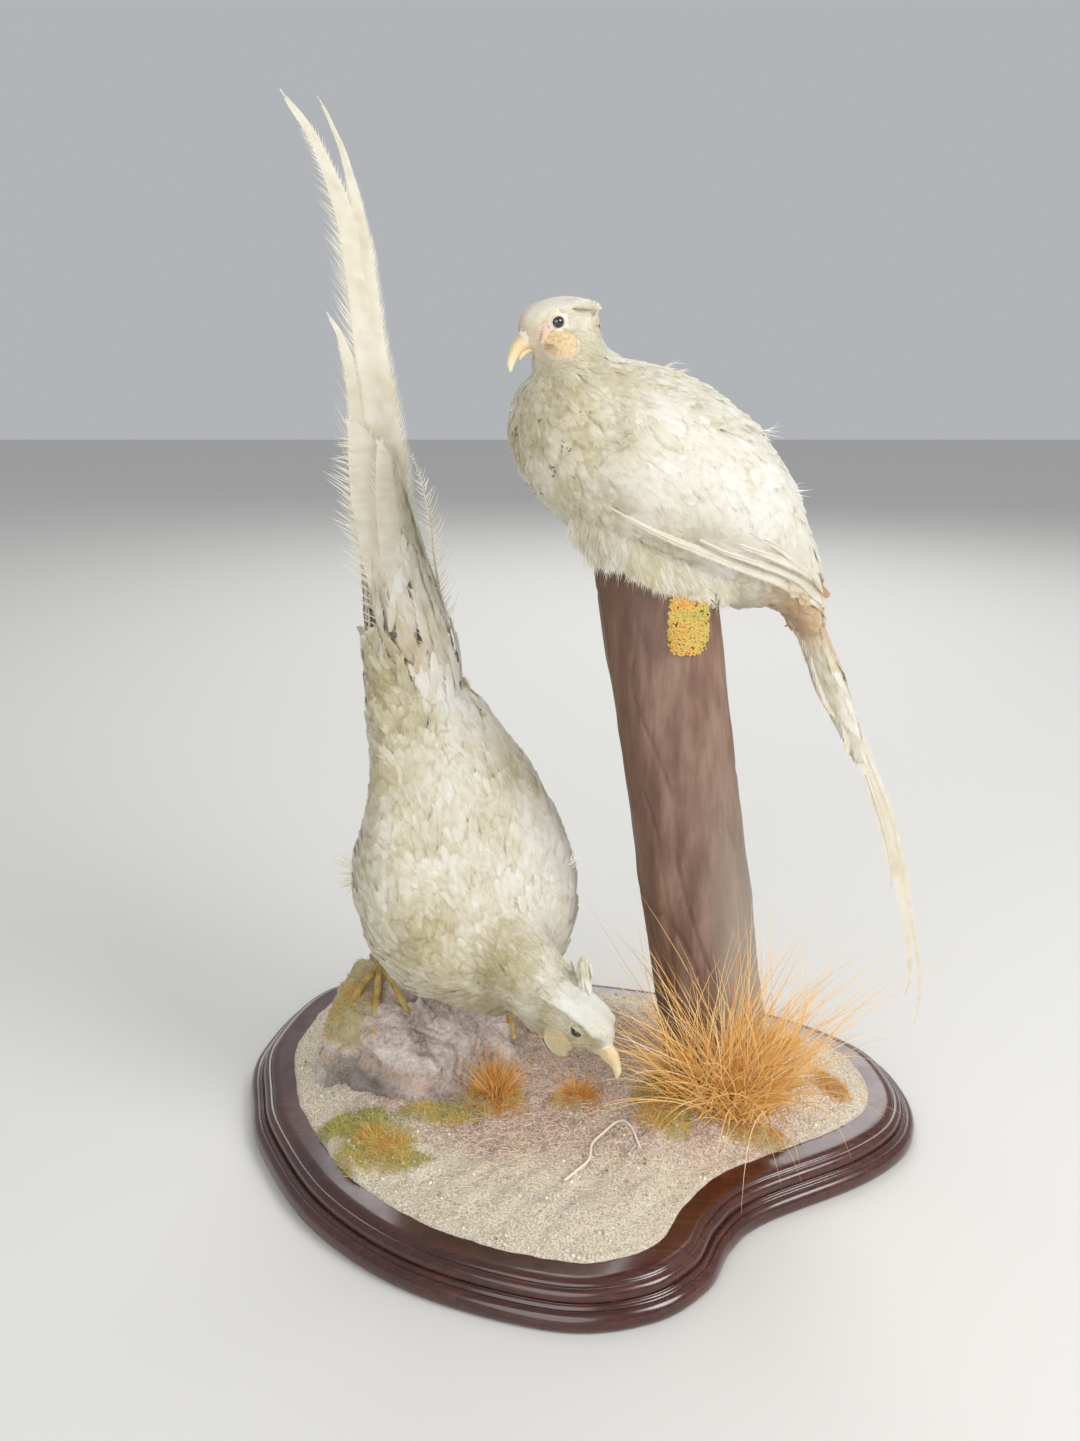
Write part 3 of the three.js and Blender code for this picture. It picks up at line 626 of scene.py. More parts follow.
def build_rock():
    """The rock: a dome with a lumpy outline, roughened, with steep ridges, creases and ledges."""
    bands, sides = 80, 260
    share = np.linspace(1.0, 0.0, bands)[:, None]
    turn = turns(sides)[None]
    lump = 1 + 0.08 * np.sin(3 * turn + 0.6) + 0.05 * np.sin(5 * turn + 2.1)
    x = share * lump * ROCK["wide"] * np.cos(turn)
    y = share * lump * ROCK["deep"] * np.sin(turn)
    cos, sin = math.cos(ROCK["turn"]), math.sin(ROCK["turn"])
    crag = 2.5 * np.sin(4 * turn + 7 * share) + 1.5 * np.sin(7 * turn - 9 * share) + 0.1 * y - 0.28 * x
    height = (ROCK["top"] - BOARD_TOP + crag) * (1 - share ** 5)
    points = np.stack([ROCK["at"][0] + cos * x - sin * y, ROCK["at"][1] + sin * x + cos * y,
                       BOARD_TOP + 2.3 + height], -1)
    out = unit(points - np.array([ROCK["at"][0], ROCK["at"][1], 40]))
    steep = smooth(0.72, 0.95, share)
    ridge = np.abs(lumps(points * [1, 1, 1.6], 17, 4))
    crease = sum(deep * np.exp(-(lumps(points * [1, 1, 1.5], wide, seed) / 0.11) ** 2)
                 for deep, wide, seed in ((3.0, 19, 14), (1.9, 9.5, 15), (0.9, 5, 16)))
    ledge = np.abs(np.sin(points[..., 2] * 0.21 + points[..., 0] * 0.045 + 1.6 * lumps(points, 34, 19)))
    points = points + out * (3.0 * roughen(points, 22, 3, 2) - 4.4 * steep * ridge - crease
                             + 2.6 * smooth(0.45, 0.8, share) * (ledge ** 0.6 - 0.7)
                             + 0.6 * lumps(points, 3.2, 9))[..., None]
    under = points[0].copy()
    under[:, 2] = BOARD_TOP + 0.3
    flat, faces = lofted(np.concatenate([under[None], points]))
    x, y, z = flat.T
    values = {
        "dark": smooth(30, -10, y) * smooth(78, 50, z) * smooth(-105, -150, x),
        "rust": 0.55 * (np.exp(-((z - 62 + 0.28 * (x + 150)) / 9) ** 2) * smooth(-60, -110, x)
                        * smooth(25, -10, y)),
        "moss": smooth(-140, -172, x) * smooth(60, 74, z) * 1.1,
    }
    piece("rock_body", flat, faces, MODELLED_ROCK, values, stands_for=["rock"])
    return tree_of(flat, faces)


rock_tree = build_rock()

# ---------- post ----------
POST_FOOT, POST_TOP = np.array([105, -10, BOARD_TOP + 0.3]), np.array([47.5, 23.5, 419.0])
POST_RADII = (38.0, 41.0)


def build_post():
    """The post: a leaning round trunk with folds and creases that run up it."""
    steps, sides = 190, 170
    share = np.linspace(0, 1, steps + 1)[:, None]
    turn = turns(sides)[None]
    middle = POST_FOOT * (1 - share) + POST_TOP * share
    radius = POST_RADII[0] * (1 - share) + POST_RADII[1] * share
    radius = radius * (1 + 0.012 * np.sin(3 * turn + 4 * share))
    round_place = np.stack([radius * np.cos(turn), radius * np.sin(turn), share * 390 + 0 * turn], -1)
    folds = roughen(round_place * [1, 1, 0.22], 13, 3, 6)
    slanted = round_place + round_place[..., 2:] * np.array([0.25, 0.1, 0])
    crease = np.exp(-(lumps(slanted * [1, 1, 0.22], 17, 12) / 0.07) ** 2)
    radius = radius - 0.6 + 1.3 * folds - 1.9 * crease * smooth(-0.4, 0.5, lumps(round_place, 60, 13))
    radius *= 1 - 0.05 * smooth(0.985, 1.0, share)
    rings = middle[:, None] + np.stack([radius * np.cos(turn), radius * np.sin(turn), 0 * radius], -1)
    points, faces = lofted(rings)
    side = np.append(np.tile(np.cos(turn[0] + 0.5), steps + 1), [0, 0])
    up = np.append(np.repeat(share[:, 0], sides), [0, 1])
    # painted light and shade: grey where the post faces the key light, dark brown on the far side and at
    # the top under the bird
    values = {"grey": smooth(0.35, 1.0, side) * smooth(0.85, 0.15, up) * 0.75,
              "rust": smooth(0.1, -0.95, side) * 0.7 + smooth(0.9, 1.0, up) * 0.3}
    piece("stump_post", points, faces, PAINTED_STUMP, values, stands_for=["post"])
    return tree_of(points, faces)


post_tree = build_post()


# ---------- grit, moss and grass ----------
def crumbs(places, sizes, tones):
    """Small irregular stones, each an uneven eight-sided lump."""
    axes = np.array([[1, 0, 0], [-1, 0, 0], [0, 1, 0], [0, -1, 0], [0, 0, 1], [0, 0, -1]], float)
    facets = np.array([[0, 2, 4], [2, 1, 4], [1, 3, 4], [3, 0, 4], [2, 0, 5], [1, 2, 5], [3, 1, 5],
                       [0, 3, 5]])
    count = len(places)
    w, a, b, c = unit(rng.normal(size=(count, 4))).T  # a turn of its own for each
    turn = np.stack([1 - 2 * (b * b + c * c), 2 * (a * b - c * w), 2 * (a * c + b * w),
                     2 * (a * b + c * w), 1 - 2 * (a * a + c * c), 2 * (b * c - a * w),
                     2 * (a * c - b * w), 2 * (b * c + a * w), 1 - 2 * (a * a + b * b)], -1)
    turn = turn.reshape(-1, 3, 3)
    lump = axes[None] * rng.uniform(0.6, 1.3, (count, 6, 1)) * sizes[:, None, None]
    points = np.einsum("nij,nkj->nki", turn, lump) + places[:, None]
    return points.reshape(-1, 3), copied(facets, count, 6), np.repeat(tones, 6)


def strands(roots, leans, lengths, widths, curls, tones, steps, droop=0.0):
    """Thin ribbons that taper to a point: each starts at its root, sets off along its lean and bends
    towards curl. Their tone rises from root to tip by a tenth."""
    count = len(roots)
    t = np.linspace(0, 1, steps + 1)[None, :, None]
    path = roots[:, None] + leans[:, None] * lengths[:, None, None] * t
    path = path + curls[:, None] * lengths[:, None, None] * t ** 2
    path[..., 2] -= droop * lengths[:, None] * t[..., 0] ** 3
    ahead = unit(np.gradient(path, axis=1))
    side = unit(np.cross(ahead, np.array([0.21, -0.83, 0.51])))
    half = 0.5 * widths[:, None, None] * (1 - t ** 1.5 * 0.92)
    points = np.stack([path - side * half, path + side * half], 2).reshape(-1, 3)
    k = np.arange(steps)
    quads = np.stack([2 * k, 2 * k + 1, 2 * k + 3, 2 * k + 2], -1)
    shade = np.repeat((tones[:, None] + 0.1 * t[0, :, 0])[..., None], 2, 2).ravel()
    return points, copied(quads, count, 2 * (steps + 1)), shade


def inside(x, y, ring):
    """Whether places lie inside a closed ring of points."""
    after = np.roll(ring, -1, 0)
    hit = np.zeros(len(x), bool)
    for (x0, y0), (x1, y1) in zip(ring, after):
        crosses = (y0 > y) != (y1 > y)
        with np.errstate(divide="ignore", invalid="ignore"):
            hit ^= crosses & (x < (x1 - x0) * (y - y0) / (y1 - y0) + x0)
    return hit


def build_grit():
    """Grains of sand, closer together along the groundwork's edge and fewer on the matted fibre."""
    ring = outline_ring(BARE_BAND + 1, 160)
    x, y = rng.uniform(-225, 225, 26000), rng.uniform(-190, 190, 26000)
    keep = inside(x, y, ring)
    x, y = x[keep], y[keep]
    edge = np.min(np.hypot(x[:, None] - ring[None, :, 0], y[:, None] - ring[None, :, 1]), axis=1)
    felt = smooth(1.1, 0.5, np.hypot((x + 40) / 130, (y + 20) / 110))
    wanted = rng.random(len(x)) < np.clip(0.30 + 0.55 * np.exp(-edge / 25) + 0.25 * lumps(
        np.column_stack([x, y, 0 * x]), 30, 2) - 0.22 * felt, 0.05, 1)
    places, sizes, tones = [], [], []
    for px, py in zip(x[wanted], y[wanted]):
        if drop(rock_tree, px, py)[0] is not None or drop(post_tree, px, py)[0] is not None:
            continue
        place, _ = drop(ground_tree, px, py)
        if place is None:
            continue
        coarse = rng.random() < 0.14
        sizes.append(rng.uniform(0.9, 1.8) if coarse else rng.uniform(0.35, 0.8))
        places.append((place.x, place.y, place.z + 0.1 * sizes[-1]))
        tones.append(np.clip(rng.normal(0.55, 0.24), 0, 1))
    points, faces, tones = crumbs(np.array(places), np.array(sizes), np.array(tones))
    piece("sand_grains", points, [faces], GRIT, {"tone": tones}, flat=True)


def build_moss():
    """Beds of dried moss: short strands, thickest in the middle of each bed."""
    roots, leans, lengths, tones = [], [], [], []
    for at_x, at_y, wide, deep, height, hue in MOSS_BEDS:
        for _ in range(int(5.0 * wide * deep ** 0.9)):
            turn, far = rng.uniform(0, 2 * math.pi), math.sqrt(rng.random()) * rng.uniform(0.7, 1.12)
            x, y = at_x + wide * far * math.cos(turn), at_y + deep * far * math.sin(turn)
            place, normal = drop(ground_tree, x, y)
            rock, _ = drop(rock_tree, x, y)
            if place is None or (rock is not None and rock.z > place.z + 4):
                continue
            roots.append((place.x, place.y, place.z - 0.3))
            leans.append(np.array(normal) + rng.normal(0, 0.75, 3))
            lengths.append((1.5 + 0.7 * height) * rng.uniform(0.35, 0.8) * (1.15 - far * 0.5))
            tones.append(np.clip(hue + rng.normal(0, 0.2) - 0.15 * far, 0, 1))
    cushion = []
    for _ in range(1500):  # the olive cushion high on the rock's left shoulder
        place, normal = drop(rock_tree, rng.normal(-176, 14), rng.normal(30, 20))
        if place is not None and place.z >= 48 and normal.z >= 0.2:
            cushion.append((place, normal))
    for place, normal in cushion:
        roots.append(tuple(place))
        leans.append(np.array(normal) + rng.normal(0, 0.6, 3))
        lengths.append(rng.uniform(1.2, 3.0))
        tones.append(np.clip(rng.normal(0.5, 0.12), 0, 1))
    count = len(roots)
    drift = lumps(np.array(roots), 13, 9)
    points, faces, shade = strands(np.array(roots), unit(np.array(leans)),
                                   np.array(lengths) * (1 + 0.5 * drift),
                                   rng.uniform(0.35, 0.75, count), rng.normal(0, 0.45, (count, 3)),
                                   np.clip(np.array(tones) + 0.3 * drift, 0, 1), steps=3)
    piece("moss_beds", points, [faces], MOSS, {"tone": shade})


LICHEN_AT = (68.0, 390.0)  # its middle on the post's front, across and up


def build_lichen():
    """A crust of yellow lichen near the top of the post, in crumbs."""
    places, tones = [], []
    wide, high = 13.5, 22
    for _ in range(2600):
        across, up = rng.uniform(-wide, wide), rng.uniform(-high, high)
        if abs(across / wide) ** 3 + abs(up / high) ** 3 > 1 + 0.2 * rng.normal():
            continue
        start = Vector((LICHEN_AT[0] + across, -120, LICHEN_AT[1] + up))
        place, normal, _, _ = post_tree.ray_cast(start, Vector((0, 1, 0)))
        if place is None:
            continue
        spot = np.array([[across, up, 0.0]])
        thick = 0.9 + 0.8 * lumps(spot, 6, 4)[0]
        places.append(np.array(place) + np.array(normal) * max(0.1, thick))
        tones.append(np.clip(0.63 + 0.25 * lumps(spot, 9, 7)[0] + rng.normal(0, 0.1), 0, 1))
    points, faces, shade = crumbs(np.array(places), rng.uniform(0.7, 1.4, len(places)), np.array(tones))
    piece("post_lichen", points, [faces], MOSS, {"tone": shade}, flat=True)


CLUMPS = [  # of grass: place, blades, length, spread, droop, tone; the first three are the tussock
    ((101, -46, 49), 560, 138, 0.88, 0.12, 0.58), ((106, -52, 47), 560, 92, 1.0, 0.16, 0.5),
    ((112, -52, 46), 90, 110, 1.15, 0.42, 0.55), ((-61, -28, 41), 330, 36, 0.8, 0.1, 0.4),
    ((-3, -28, 40), 190, 21, 0.9, 0.1, 0.4), ((57, -66, 42), 60, 14, 0.9, 0.1, 0.6),
    ((150, 8, 44), 50, 18, 1.1, 0.3, 0.75)]
STEM = [  # the fallen stem's path seen from above
    (-13, -119), (-5, -110), (4, -98), (6.5, -82), (15, -71), (25, -65), (33, -74),
    (38.5, -93)]


def build_grass():
    """The tussock at the post's foot, small brown tufts, matted fibre and one fallen pale stem."""
    shells, shades = [], []
    for place, blades, length, spread, droop, tone in CLUMPS:
        roots = np.array(place) + rng.normal(0, 1, (blades, 3)) * [length * 0.1, length * 0.06, 0]
        turn = rng.uniform(0, 2 * math.pi, blades)
        tilt = spread * np.sqrt(rng.random(blades))
        leans = np.stack([np.sin(tilt) * np.cos(turn), 0.75 * np.sin(tilt) * np.sin(turn),
                          np.cos(tilt)], -1)
        lengths = length * rng.uniform(0.55, 1.1, blades)
        tones = np.clip(rng.normal(tone, 0.14, blades) - 0.06, 0, 0.9)
        points, faces, shade = strands(roots, leans, lengths, rng.uniform(0.55, 1.15, blades),
                                       rng.normal(0, 0.17, (blades, 3)), tones, steps=7, droop=droop)
        shells.append((points, [faces]))
        shades.append(shade)
    count = 2600
    x, y = rng.normal(0, 75, count), rng.normal(-45, 55, count)
    ring = outline_ring(BARE_BAND + 8, 120)
    places = [drop(ground_tree, px, py)[0] for px, py in zip(x, y)]
    rock = [drop(rock_tree, px, py)[0] for px, py in zip(x, y)]
    keep = [p is not None and r is None and k for p, r, k in zip(places, rock, inside(x, y, ring))]
    roots = np.array([tuple(p) for p, k in zip(places, keep) if k]) + [0, 0, 0.4]
    count = len(roots)
    turn = rng.uniform(0, 2 * math.pi, count)
    leans = np.stack([np.cos(turn), np.sin(turn), rng.uniform(0.0, 0.25, count)], -1)
    points, faces, shade = strands(roots, leans, rng.uniform(3, 11, count), rng.uniform(0.25, 0.5, count),
                                   rng.normal(0, 0.3, (count, 3)) * [1, 1, 0.2],
                                   np.clip(rng.normal(0.9, 0.08, count), 0, 0.95), steps=3, droop=0.1)
    shells.append((points, [faces]))
    shades.append(shade)
    flat = spline(STEM, np.linspace(0, 1, 40))
    path = np.array([tuple(drop(ground_tree, *p)[0]) for p in flat]) + [0, 0, 1.0]
    path[:, 2] = evened(path[:, 2]) + 0.9
    shells.append(tube(path, np.linspace(1.1, 0.7, 40), 8))
    shades.append(np.full(len(shells[-1][0]), 1.3))
    points, faces = joined(shells)
    piece("dry_grass", points, faces, STRAW, {"tone": np.concatenate(shades)})


build_grit()
build_moss()
build_lichen()
build_grass()

# ---------- heads: x ahead, y left, z up, the origin between the eyes ----------
# Stations for swept: x, y, z, half width, reach up and reach down.
SKULL = [
    (-30, 0, -11, 7, 8, 7), (-26, 0, -9, 13, 14, 14), (-18, 0, -7, 15.5, 18.4, 18),
    (-9, 0, -5, 15.5, 19.2, 21), (1, 0, -4.5, 14, 18.2, 19.5), (10, 0, -5, 11.5, 16, 16),
    (17, 0, -8.5, 6.8, 9, 10.5), (21, 0, -10.5, 3.6, 4.2, 5)]
UPPER_BILL = [
    (11, 0, -9, 5.6, 6.2, 5), (16, 0, -9.4, 5.5, 6, 5), (21.5, 0, -11.4, 4.8, 5.5, 4.2),
    (26, 0, -15.8, 3.4, 4.2, 3.2), (29.2, 0, -21, 2.1, 2.7, 2.2), (30.3, 0, -26, 0.7, 0.9, 0.9)]
LOWER_BILL = [
    (9, 0, -13.6, 4, 2.6, 2.6), (16.5, 0, -14.8, 3.4, 3, 2), (21, 0, -17, 2.4, 2.6, 1.5),
    (23.5, 0, -19.6, 0.8, 0.8, 0.6)]
EYE_RADIUS, EYE_OUT = 4.6, 11.4  # the glass ball's, and how far out to the side its middle is


class Head:
    """A bird's head: where it is, where it looks and where its crown points. tufts are the ear tufts'
    reach back and their rise on the left and right, opening the eye's half length and its height above
    and below, cheek the wattle's middle and its size, flush the streak before the eye, brow the brow's
    height, bare and pink how strongly bare skin is coloured, bill the bill's length against the usual
    one, and throat the dried lobes that hang under each cheek."""

    def __init__(self, at, ahead, crown, tufts, opening, cheek, flush, brow, bare, pink, bill, throat):
        x = unit(np.array(ahead, float))
        z = np.array(crown, float)
        z = unit(z - (z @ x) * x)
        self.axes = np.array([x, np.cross(z, x), z])
        self.at = np.array(at, float)
        self.tufts, self.opening, self.cheek = tufts, opening, cheek
        self.flush, self.brow, self.bare, self.pink = flush, brow, bare, pink
        self.bill, self.throat = bill, throat

    def out(self, local):
        """Places of the head as places of the mount."""
        return np.asarray(local, float) @ self.axes + self.at

    def local(self, points):
        """Places of the mount as places of the head."""
        return (points - self.at) @ self.axes.T


COCK_HEAD = Head((3, -70, 127), (0.76, -0.56, -0.33), (0.2, -0.26, 0.94), (34, 16, 10), (4.4, 3.0, 3.2),
                 (-9, -17, 1.25), flush=0.25, brow=4.2, bare=0.3, pink=0.1, bill=1.13,
                 throat=[(-15, 8.5, -24, 14.5, 7.5, 14), (-33, 6, -20, 17, 9, 13)])
PERCHED_HEAD = Head((-22.5, -3, 578), (-0.931, -0.337, -0.139), (-0.13, -0.047, 0.99), (27, 1, 1),
                    (3.9, 3.4, 3.6), (0.6, -13, 1.0), flush=1.0, brow=1.0, bare=1.0, pink=1.0, bill=1.0,
                    throat=[])


def egg(at, sizes, rings=24, sides=32):
    """A closed ball stretched to its half sizes."""
    turn = np.linspace(0, math.pi, rings)[1:-1, None]
    round_it = turns(sides)[None]
    ball = np.stack([np.sin(turn) * np.cos(round_it), np.sin(turn) * np.sin(round_it),
                     np.cos(turn) + 0 * round_it], -1)
    points, faces = lofted(ball)
    points[-2:] = [[0, 0, 1], [0, 0, -1]]
    return points * sizes + at, faces


def head_shells(head):
    """The skull and, on each side, the flesh of an ear tuft, the cheek and the throat's loose lobes."""
    shells = [lofted(swept(SKULL, 40, 48, (0, 0, 1)))]
    reach, *rises = head.tufts
    for side, rise in zip((1, -1), rises):
        middle = -14 + 0.55 * (14 - reach)
        tuft = [(-14, 9 * side, 9, 3, 4, 4), (middle, 13 * side, 6 + rise / 2, 2.8, 3.6, 3.6),
                (-reach + 2, 17 * side, 2 + rise, 1.8, 2.2, 2.2)]
        shells.append(lofted(swept(tuft, 14, 16, (0, 0, 1))))
        shells.append(egg((head.cheek[0] - 1, 9.2 * side, -13), (10.5, 6.2, 10)))
        shells += [egg((x, y * side, z), sizes) for x, y, z, *sizes in head.throat]
    return [(head.out(points), faces) for points, faces in shells]


def cad_shell(name):
    """A solid of the frame as a shell in millimetres."""
    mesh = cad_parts[name].data
    mesh.calc_loop_triangles()
    points = numbers_of(mesh.vertices, "co", 3)
    return points.astype(float) / MM, [numbers_of(mesh.loop_triangles, "vertices", 3, np.int32)]


def trimmed(shell, cuts):
    """A closed shell cut by planes, each a place and a direction to drop, and closed again."""
    points, faces = shell
    made = bmesh.new()
    verts = [made.verts.new(p) for p in points.tolist()]
    for group in faces:
        for face in group.tolist():
            made.faces.new([verts[i] for i in face])
    bmesh.ops.remove_doubles(made, verts=made.verts[:], dist=0.01)
    for place, away in cuts:
        bmesh.ops.bisect_plane(made, geom=made.verts[:] + made.edges[:] + made.faces[:], dist=0.001,
                               plane_co=place, plane_no=away, clear_outer=True)
        bmesh.ops.holes_fill(made, edges=[e for e in made.edges if e.is_boundary], sides=0)
    bmesh.ops.triangulate(made, faces=made.faces[:])
    made.verts.index_update()
    points = np.array([tuple(v.co) for v in made.verts])
    faces = [np.array([[v.index for v in f.verts] for f in made.faces])]
    made.free()
    return points, faces


def remeshed(shells, cell):
    """One closed skin round overlapping closed shells, in faces about a cell across."""
    points, faces = joined(shells)
    mesh = bpy.data.meshes.new("flesh")
    mesh.from_pydata((points * MM).tolist(), [], [f for group in faces for f in group.tolist()])
    made = bpy.data.objects.new("flesh", mesh)
    bpy.context.scene.collection.objects.link(made)
    voxels = made.modifiers.new("voxels", "REMESH")
    voxels.mode = "VOXEL"
    voxels.voxel_size = cell * MM
    voxels.adaptivity = 0
    graph = bpy.context.evaluated_depsgraph_get()
    skin = bpy.data.meshes.new_from_object(made.evaluated_get(graph))
    points = numbers_of(skin.vertices, "co", 3)
    quads = numbers_of(skin.loops, "vertex_index", 1, np.int32).reshape(-1, 4).astype(np.int64)
    bpy.data.objects.remove(made)
    bpy.data.meshes.remove(mesh)
    bpy.data.meshes.remove(skin)
    return points.astype(float) / MM, halved(quads)


def edge_pairs(faces):
    """Every edge once, as a pair of points."""
    pairs = np.vstack([faces[:, [0, 1]], faces[:, [1, 2]], faces[:, [2, 0]]])
    return np.unique(np.sort(pairs, 1), axis=0)


def refined(points, faces, picked):
    """Three-sided faces with the picked ones cut in four, and their neighbours cut to match."""
    count = len(points)
    edges = np.sort(np.stack([faces, np.roll(faces, -1, 1)], 2), axis=2)
    keys = edges[..., 0] * count + edges[..., 1]
    split = np.unique(keys[picked])
    marked = np.isin(keys, split)
    middle = count + np.searchsorted(split, keys)
    points = np.vstack([points, 0.5 * (points[split // count] + points[split % count])])
    cuts = marked.sum(1)
    made = [faces[cuts == 0]]
    for cut, patterns in ((1, ((0, 3, 2), (3, 1, 2))), (2, ((3, 1, 4), (0, 3, 2), (3, 4, 2))),
                          (3, ((0, 3, 5), (3, 1, 4), (5, 4, 2), (3, 4, 5)))):
        rows = np.flatnonzero(cuts == cut)
        turn = {1: marked[rows].argmax(1), 2: marked[rows].argmin(1) + 1, 3: 0 * rows}[cut]
        order = (turn[:, None] + np.arange(3)) % 3
        both = np.hstack([faces[rows[:, None], order], middle[rows[:, None], order]])
        made += [both[:, list(pattern)] for pattern in patterns]
    return points, np.vstack(made)


def relaxed(points, pairs, rounds, share=0.5, hold=None):
    """Points drawn towards the middle of their neighbours."""
    count = np.bincount(pairs.ravel(), minlength=len(points))[:, None]
    for _ in range(rounds):
        total = np.zeros_like(points)
        for k in range(3):
            total[:, k] = (np.bincount(pairs[:, 0], points[pairs[:, 1], k], len(points))
                           + np.bincount(pairs[:, 1], points[pairs[:, 0], k], len(points)))
        moved = share * (total / count - points)
        points = points + (moved if hold is None else moved * hold[:, None])
    return points


def normals_of(points, faces):
    """The way the surface faces at each point."""
    a, b, c = (points[faces[:, k]] for k in range(3))
    face = np.cross(b - a, c - a)
    total = np.zeros_like(points)
    for corner in range(3):
        for k in range(3):
            total[:, k] += np.bincount(faces[:, corner], face[:, k], len(points))
    return unit(total)


# ---------- the lie of the plumage ----------
# Each guide: its place, the direction of the feathers there, its reach, a feather's length and width,
# and the depth of the coat.
COCK_GUIDES = [
    (-10, -60, 124, -0.6, 0.55, 0.4, 20, 8, 4.5, 1.8), (-30, -45, 142, -0.62, 0.62, 0.48, 22, 12, 6, 3),
    (-52, -30, 168, -0.52, 0.45, 0.72, 26, 16, 8, 4.5), (-60, -30, 200, -0.36, 0.34, 0.87, 34, 21, 10, 6),
    (-66, -14, 232, -0.24, 0.34, 0.91, 36, 25, 11, 6.5), (-88, 20, 285, -0.24, 0.3, 0.92, 34, 27, 10, 6),
    (-112, 50, 325, -0.26, 0.25, 0.93, 28, 30, 9, 5), (-125, 71, 358, -0.05, 0.05, 1, 20, 34, 8, 3.4),
    (-127, 71, 388, -0.05, 0.05, 1, 22, 36, 8, 2), (-30, 5, 190, -0.2, 0.4, 0.89, 34, 24, 12, 6),
    (-130, 0, 190, -0.3, 0.3, 0.9, 36, 24, 12, 6), (-120, -25, 145, -0.5, 0.35, 0.79, 32, 20, 10, 6),
    (-56, -42, 118, -0.7, 0.68, 0.2, 26, 16, 9, 5), (-54, -10, 103, -0.55, 0.83, 0, 30, 18, 9, 5),
    (-90, 40, 130, -0.3, 0.6, 0.74, 36, 22, 11, 6), (-120, 85, 230, -0.25, 0.25, 0.93, 50, 24, 11, 6),
    (-135, 72, 178, -0.25, 0.1, -0.96, 16, 14, 6, 3), (-146, 74, 146, -0.05, -0.02, -1, 14, 9, 4, 1.6),
    (-60, 66, 150, 0.12, 0.1, -0.98, 14, 12, 6, 2.5), (-57, 71, 118, 0.02, 0, -1, 12, 8, 4, 1.6),
]
PERCHED_GUIDES = [
    (-21, 0, 572, 0.3, 0.1, -0.95, 12, 7, 4, 1.6), (-14, 2, 558, 0.3, 0.12, -0.95, 18, 10, 5.5, 2.4),
    (-36, -14, 545, 0.05, 0.02, -1, 22, 10, 6, 3), (12, 10, 548, 0.62, 0.22, -0.75, 26, 15, 8, 3.5),
    (-45, -10, 515, 0.15, -0.02, -0.99, 32, 14, 8, 4.5), (-20, -30, 480, 0.5, 0.1, -0.86, 34, 17, 9, 5),
    (20, -30, 440, 0.82, 0.2, -0.54, 36, 18, 9, 5), (30, 15, 545, 0.85, 0.28, -0.45, 34, 20, 10, 5.5),
    (30, -40, 500, 0.8, 0.18, -0.57, 36, 22, 11, 6), (30, 70, 500, 0.8, 0.3, -0.52, 40, 22, 11, 6),
    (75, 30, 520, 0.8, 0.28, -0.53, 36, 26, 11, 6), (80, -20, 475, 0.78, 0.24, -0.58, 34, 26, 11, 6),
    (80, 90, 475, 0.78, 0.24, -0.58, 40, 26, 11, 6), (118, 45, 470, 0.72, 0.26, -0.64, 32, 28, 10, 5),
    (60, 25, 415, 0.55, 0.15, -0.82, 34, 24, 9, 6), (100, 40, 405, 0.72, 0.22, -0.66, 28, 22, 9, 5),
    (150, 56, 398, 0.5, 0.15, -0.85, 20, 28, 8, 3.4), (172, 60, 345, 0.4, 0.05, -0.92, 26, 28, 6, 1.8),
]


class Lie:
    """What the guides say at any place, nearer ones counting for more."""

    def __init__(self, guides, head):
        table = np.array(guides, float)
        self.place, self.reach, self.head = table[:, :3], table[:, 6], head
        self.rows = np.hstack([unit(table[:, 3:6]), table[:, 7:]])

    def at(self, points):
        """Direction, length, width and depth; on the head they give way to the head's own."""
        far = np.linalg.norm(points[:, None] - self.place[None], axis=2) / self.reach
        weight = 1 / (0.08 + far ** 2) ** 2.2
        rows = (weight @ self.rows) / weight.sum(1, keepdims=True)
        local = self.head.local(points)
        x, y, z = local.T
        on_head = smooth(-36, -24, x) * smooth(34, 27, np.linalg.norm(local + [4, 0, 5], axis=1))
        back = np.stack([-np.ones_like(x), 0.25 * np.sign(y) * smooth(4, 14, np.abs(y)),
                         np.where(z < -6, -0.35, 0.12)], -1)
        own = np.column_stack([back @ self.head.axes, 3.8 + 4.0 * smooth(10, -26, x),
                               1.5 + 1.2 * smooth(8, -26, x), 0.5 + 0.8 * smooth(6, -26, x)])
        rows = rows * (1 - on_head[:, None]) + own * on_head[:, None]
        return unit(rows[:, :3]), rows[:, 3], rows[:, 4], rows[:, 5], on_head


def brow_line(x):
    """The brow's height over the eye, from the back of the head to the bill."""
    return np.interp(x, [-34, -22, -10, 4, 13], [12.5, 10.2, 8.2, 7.0, 3.0])


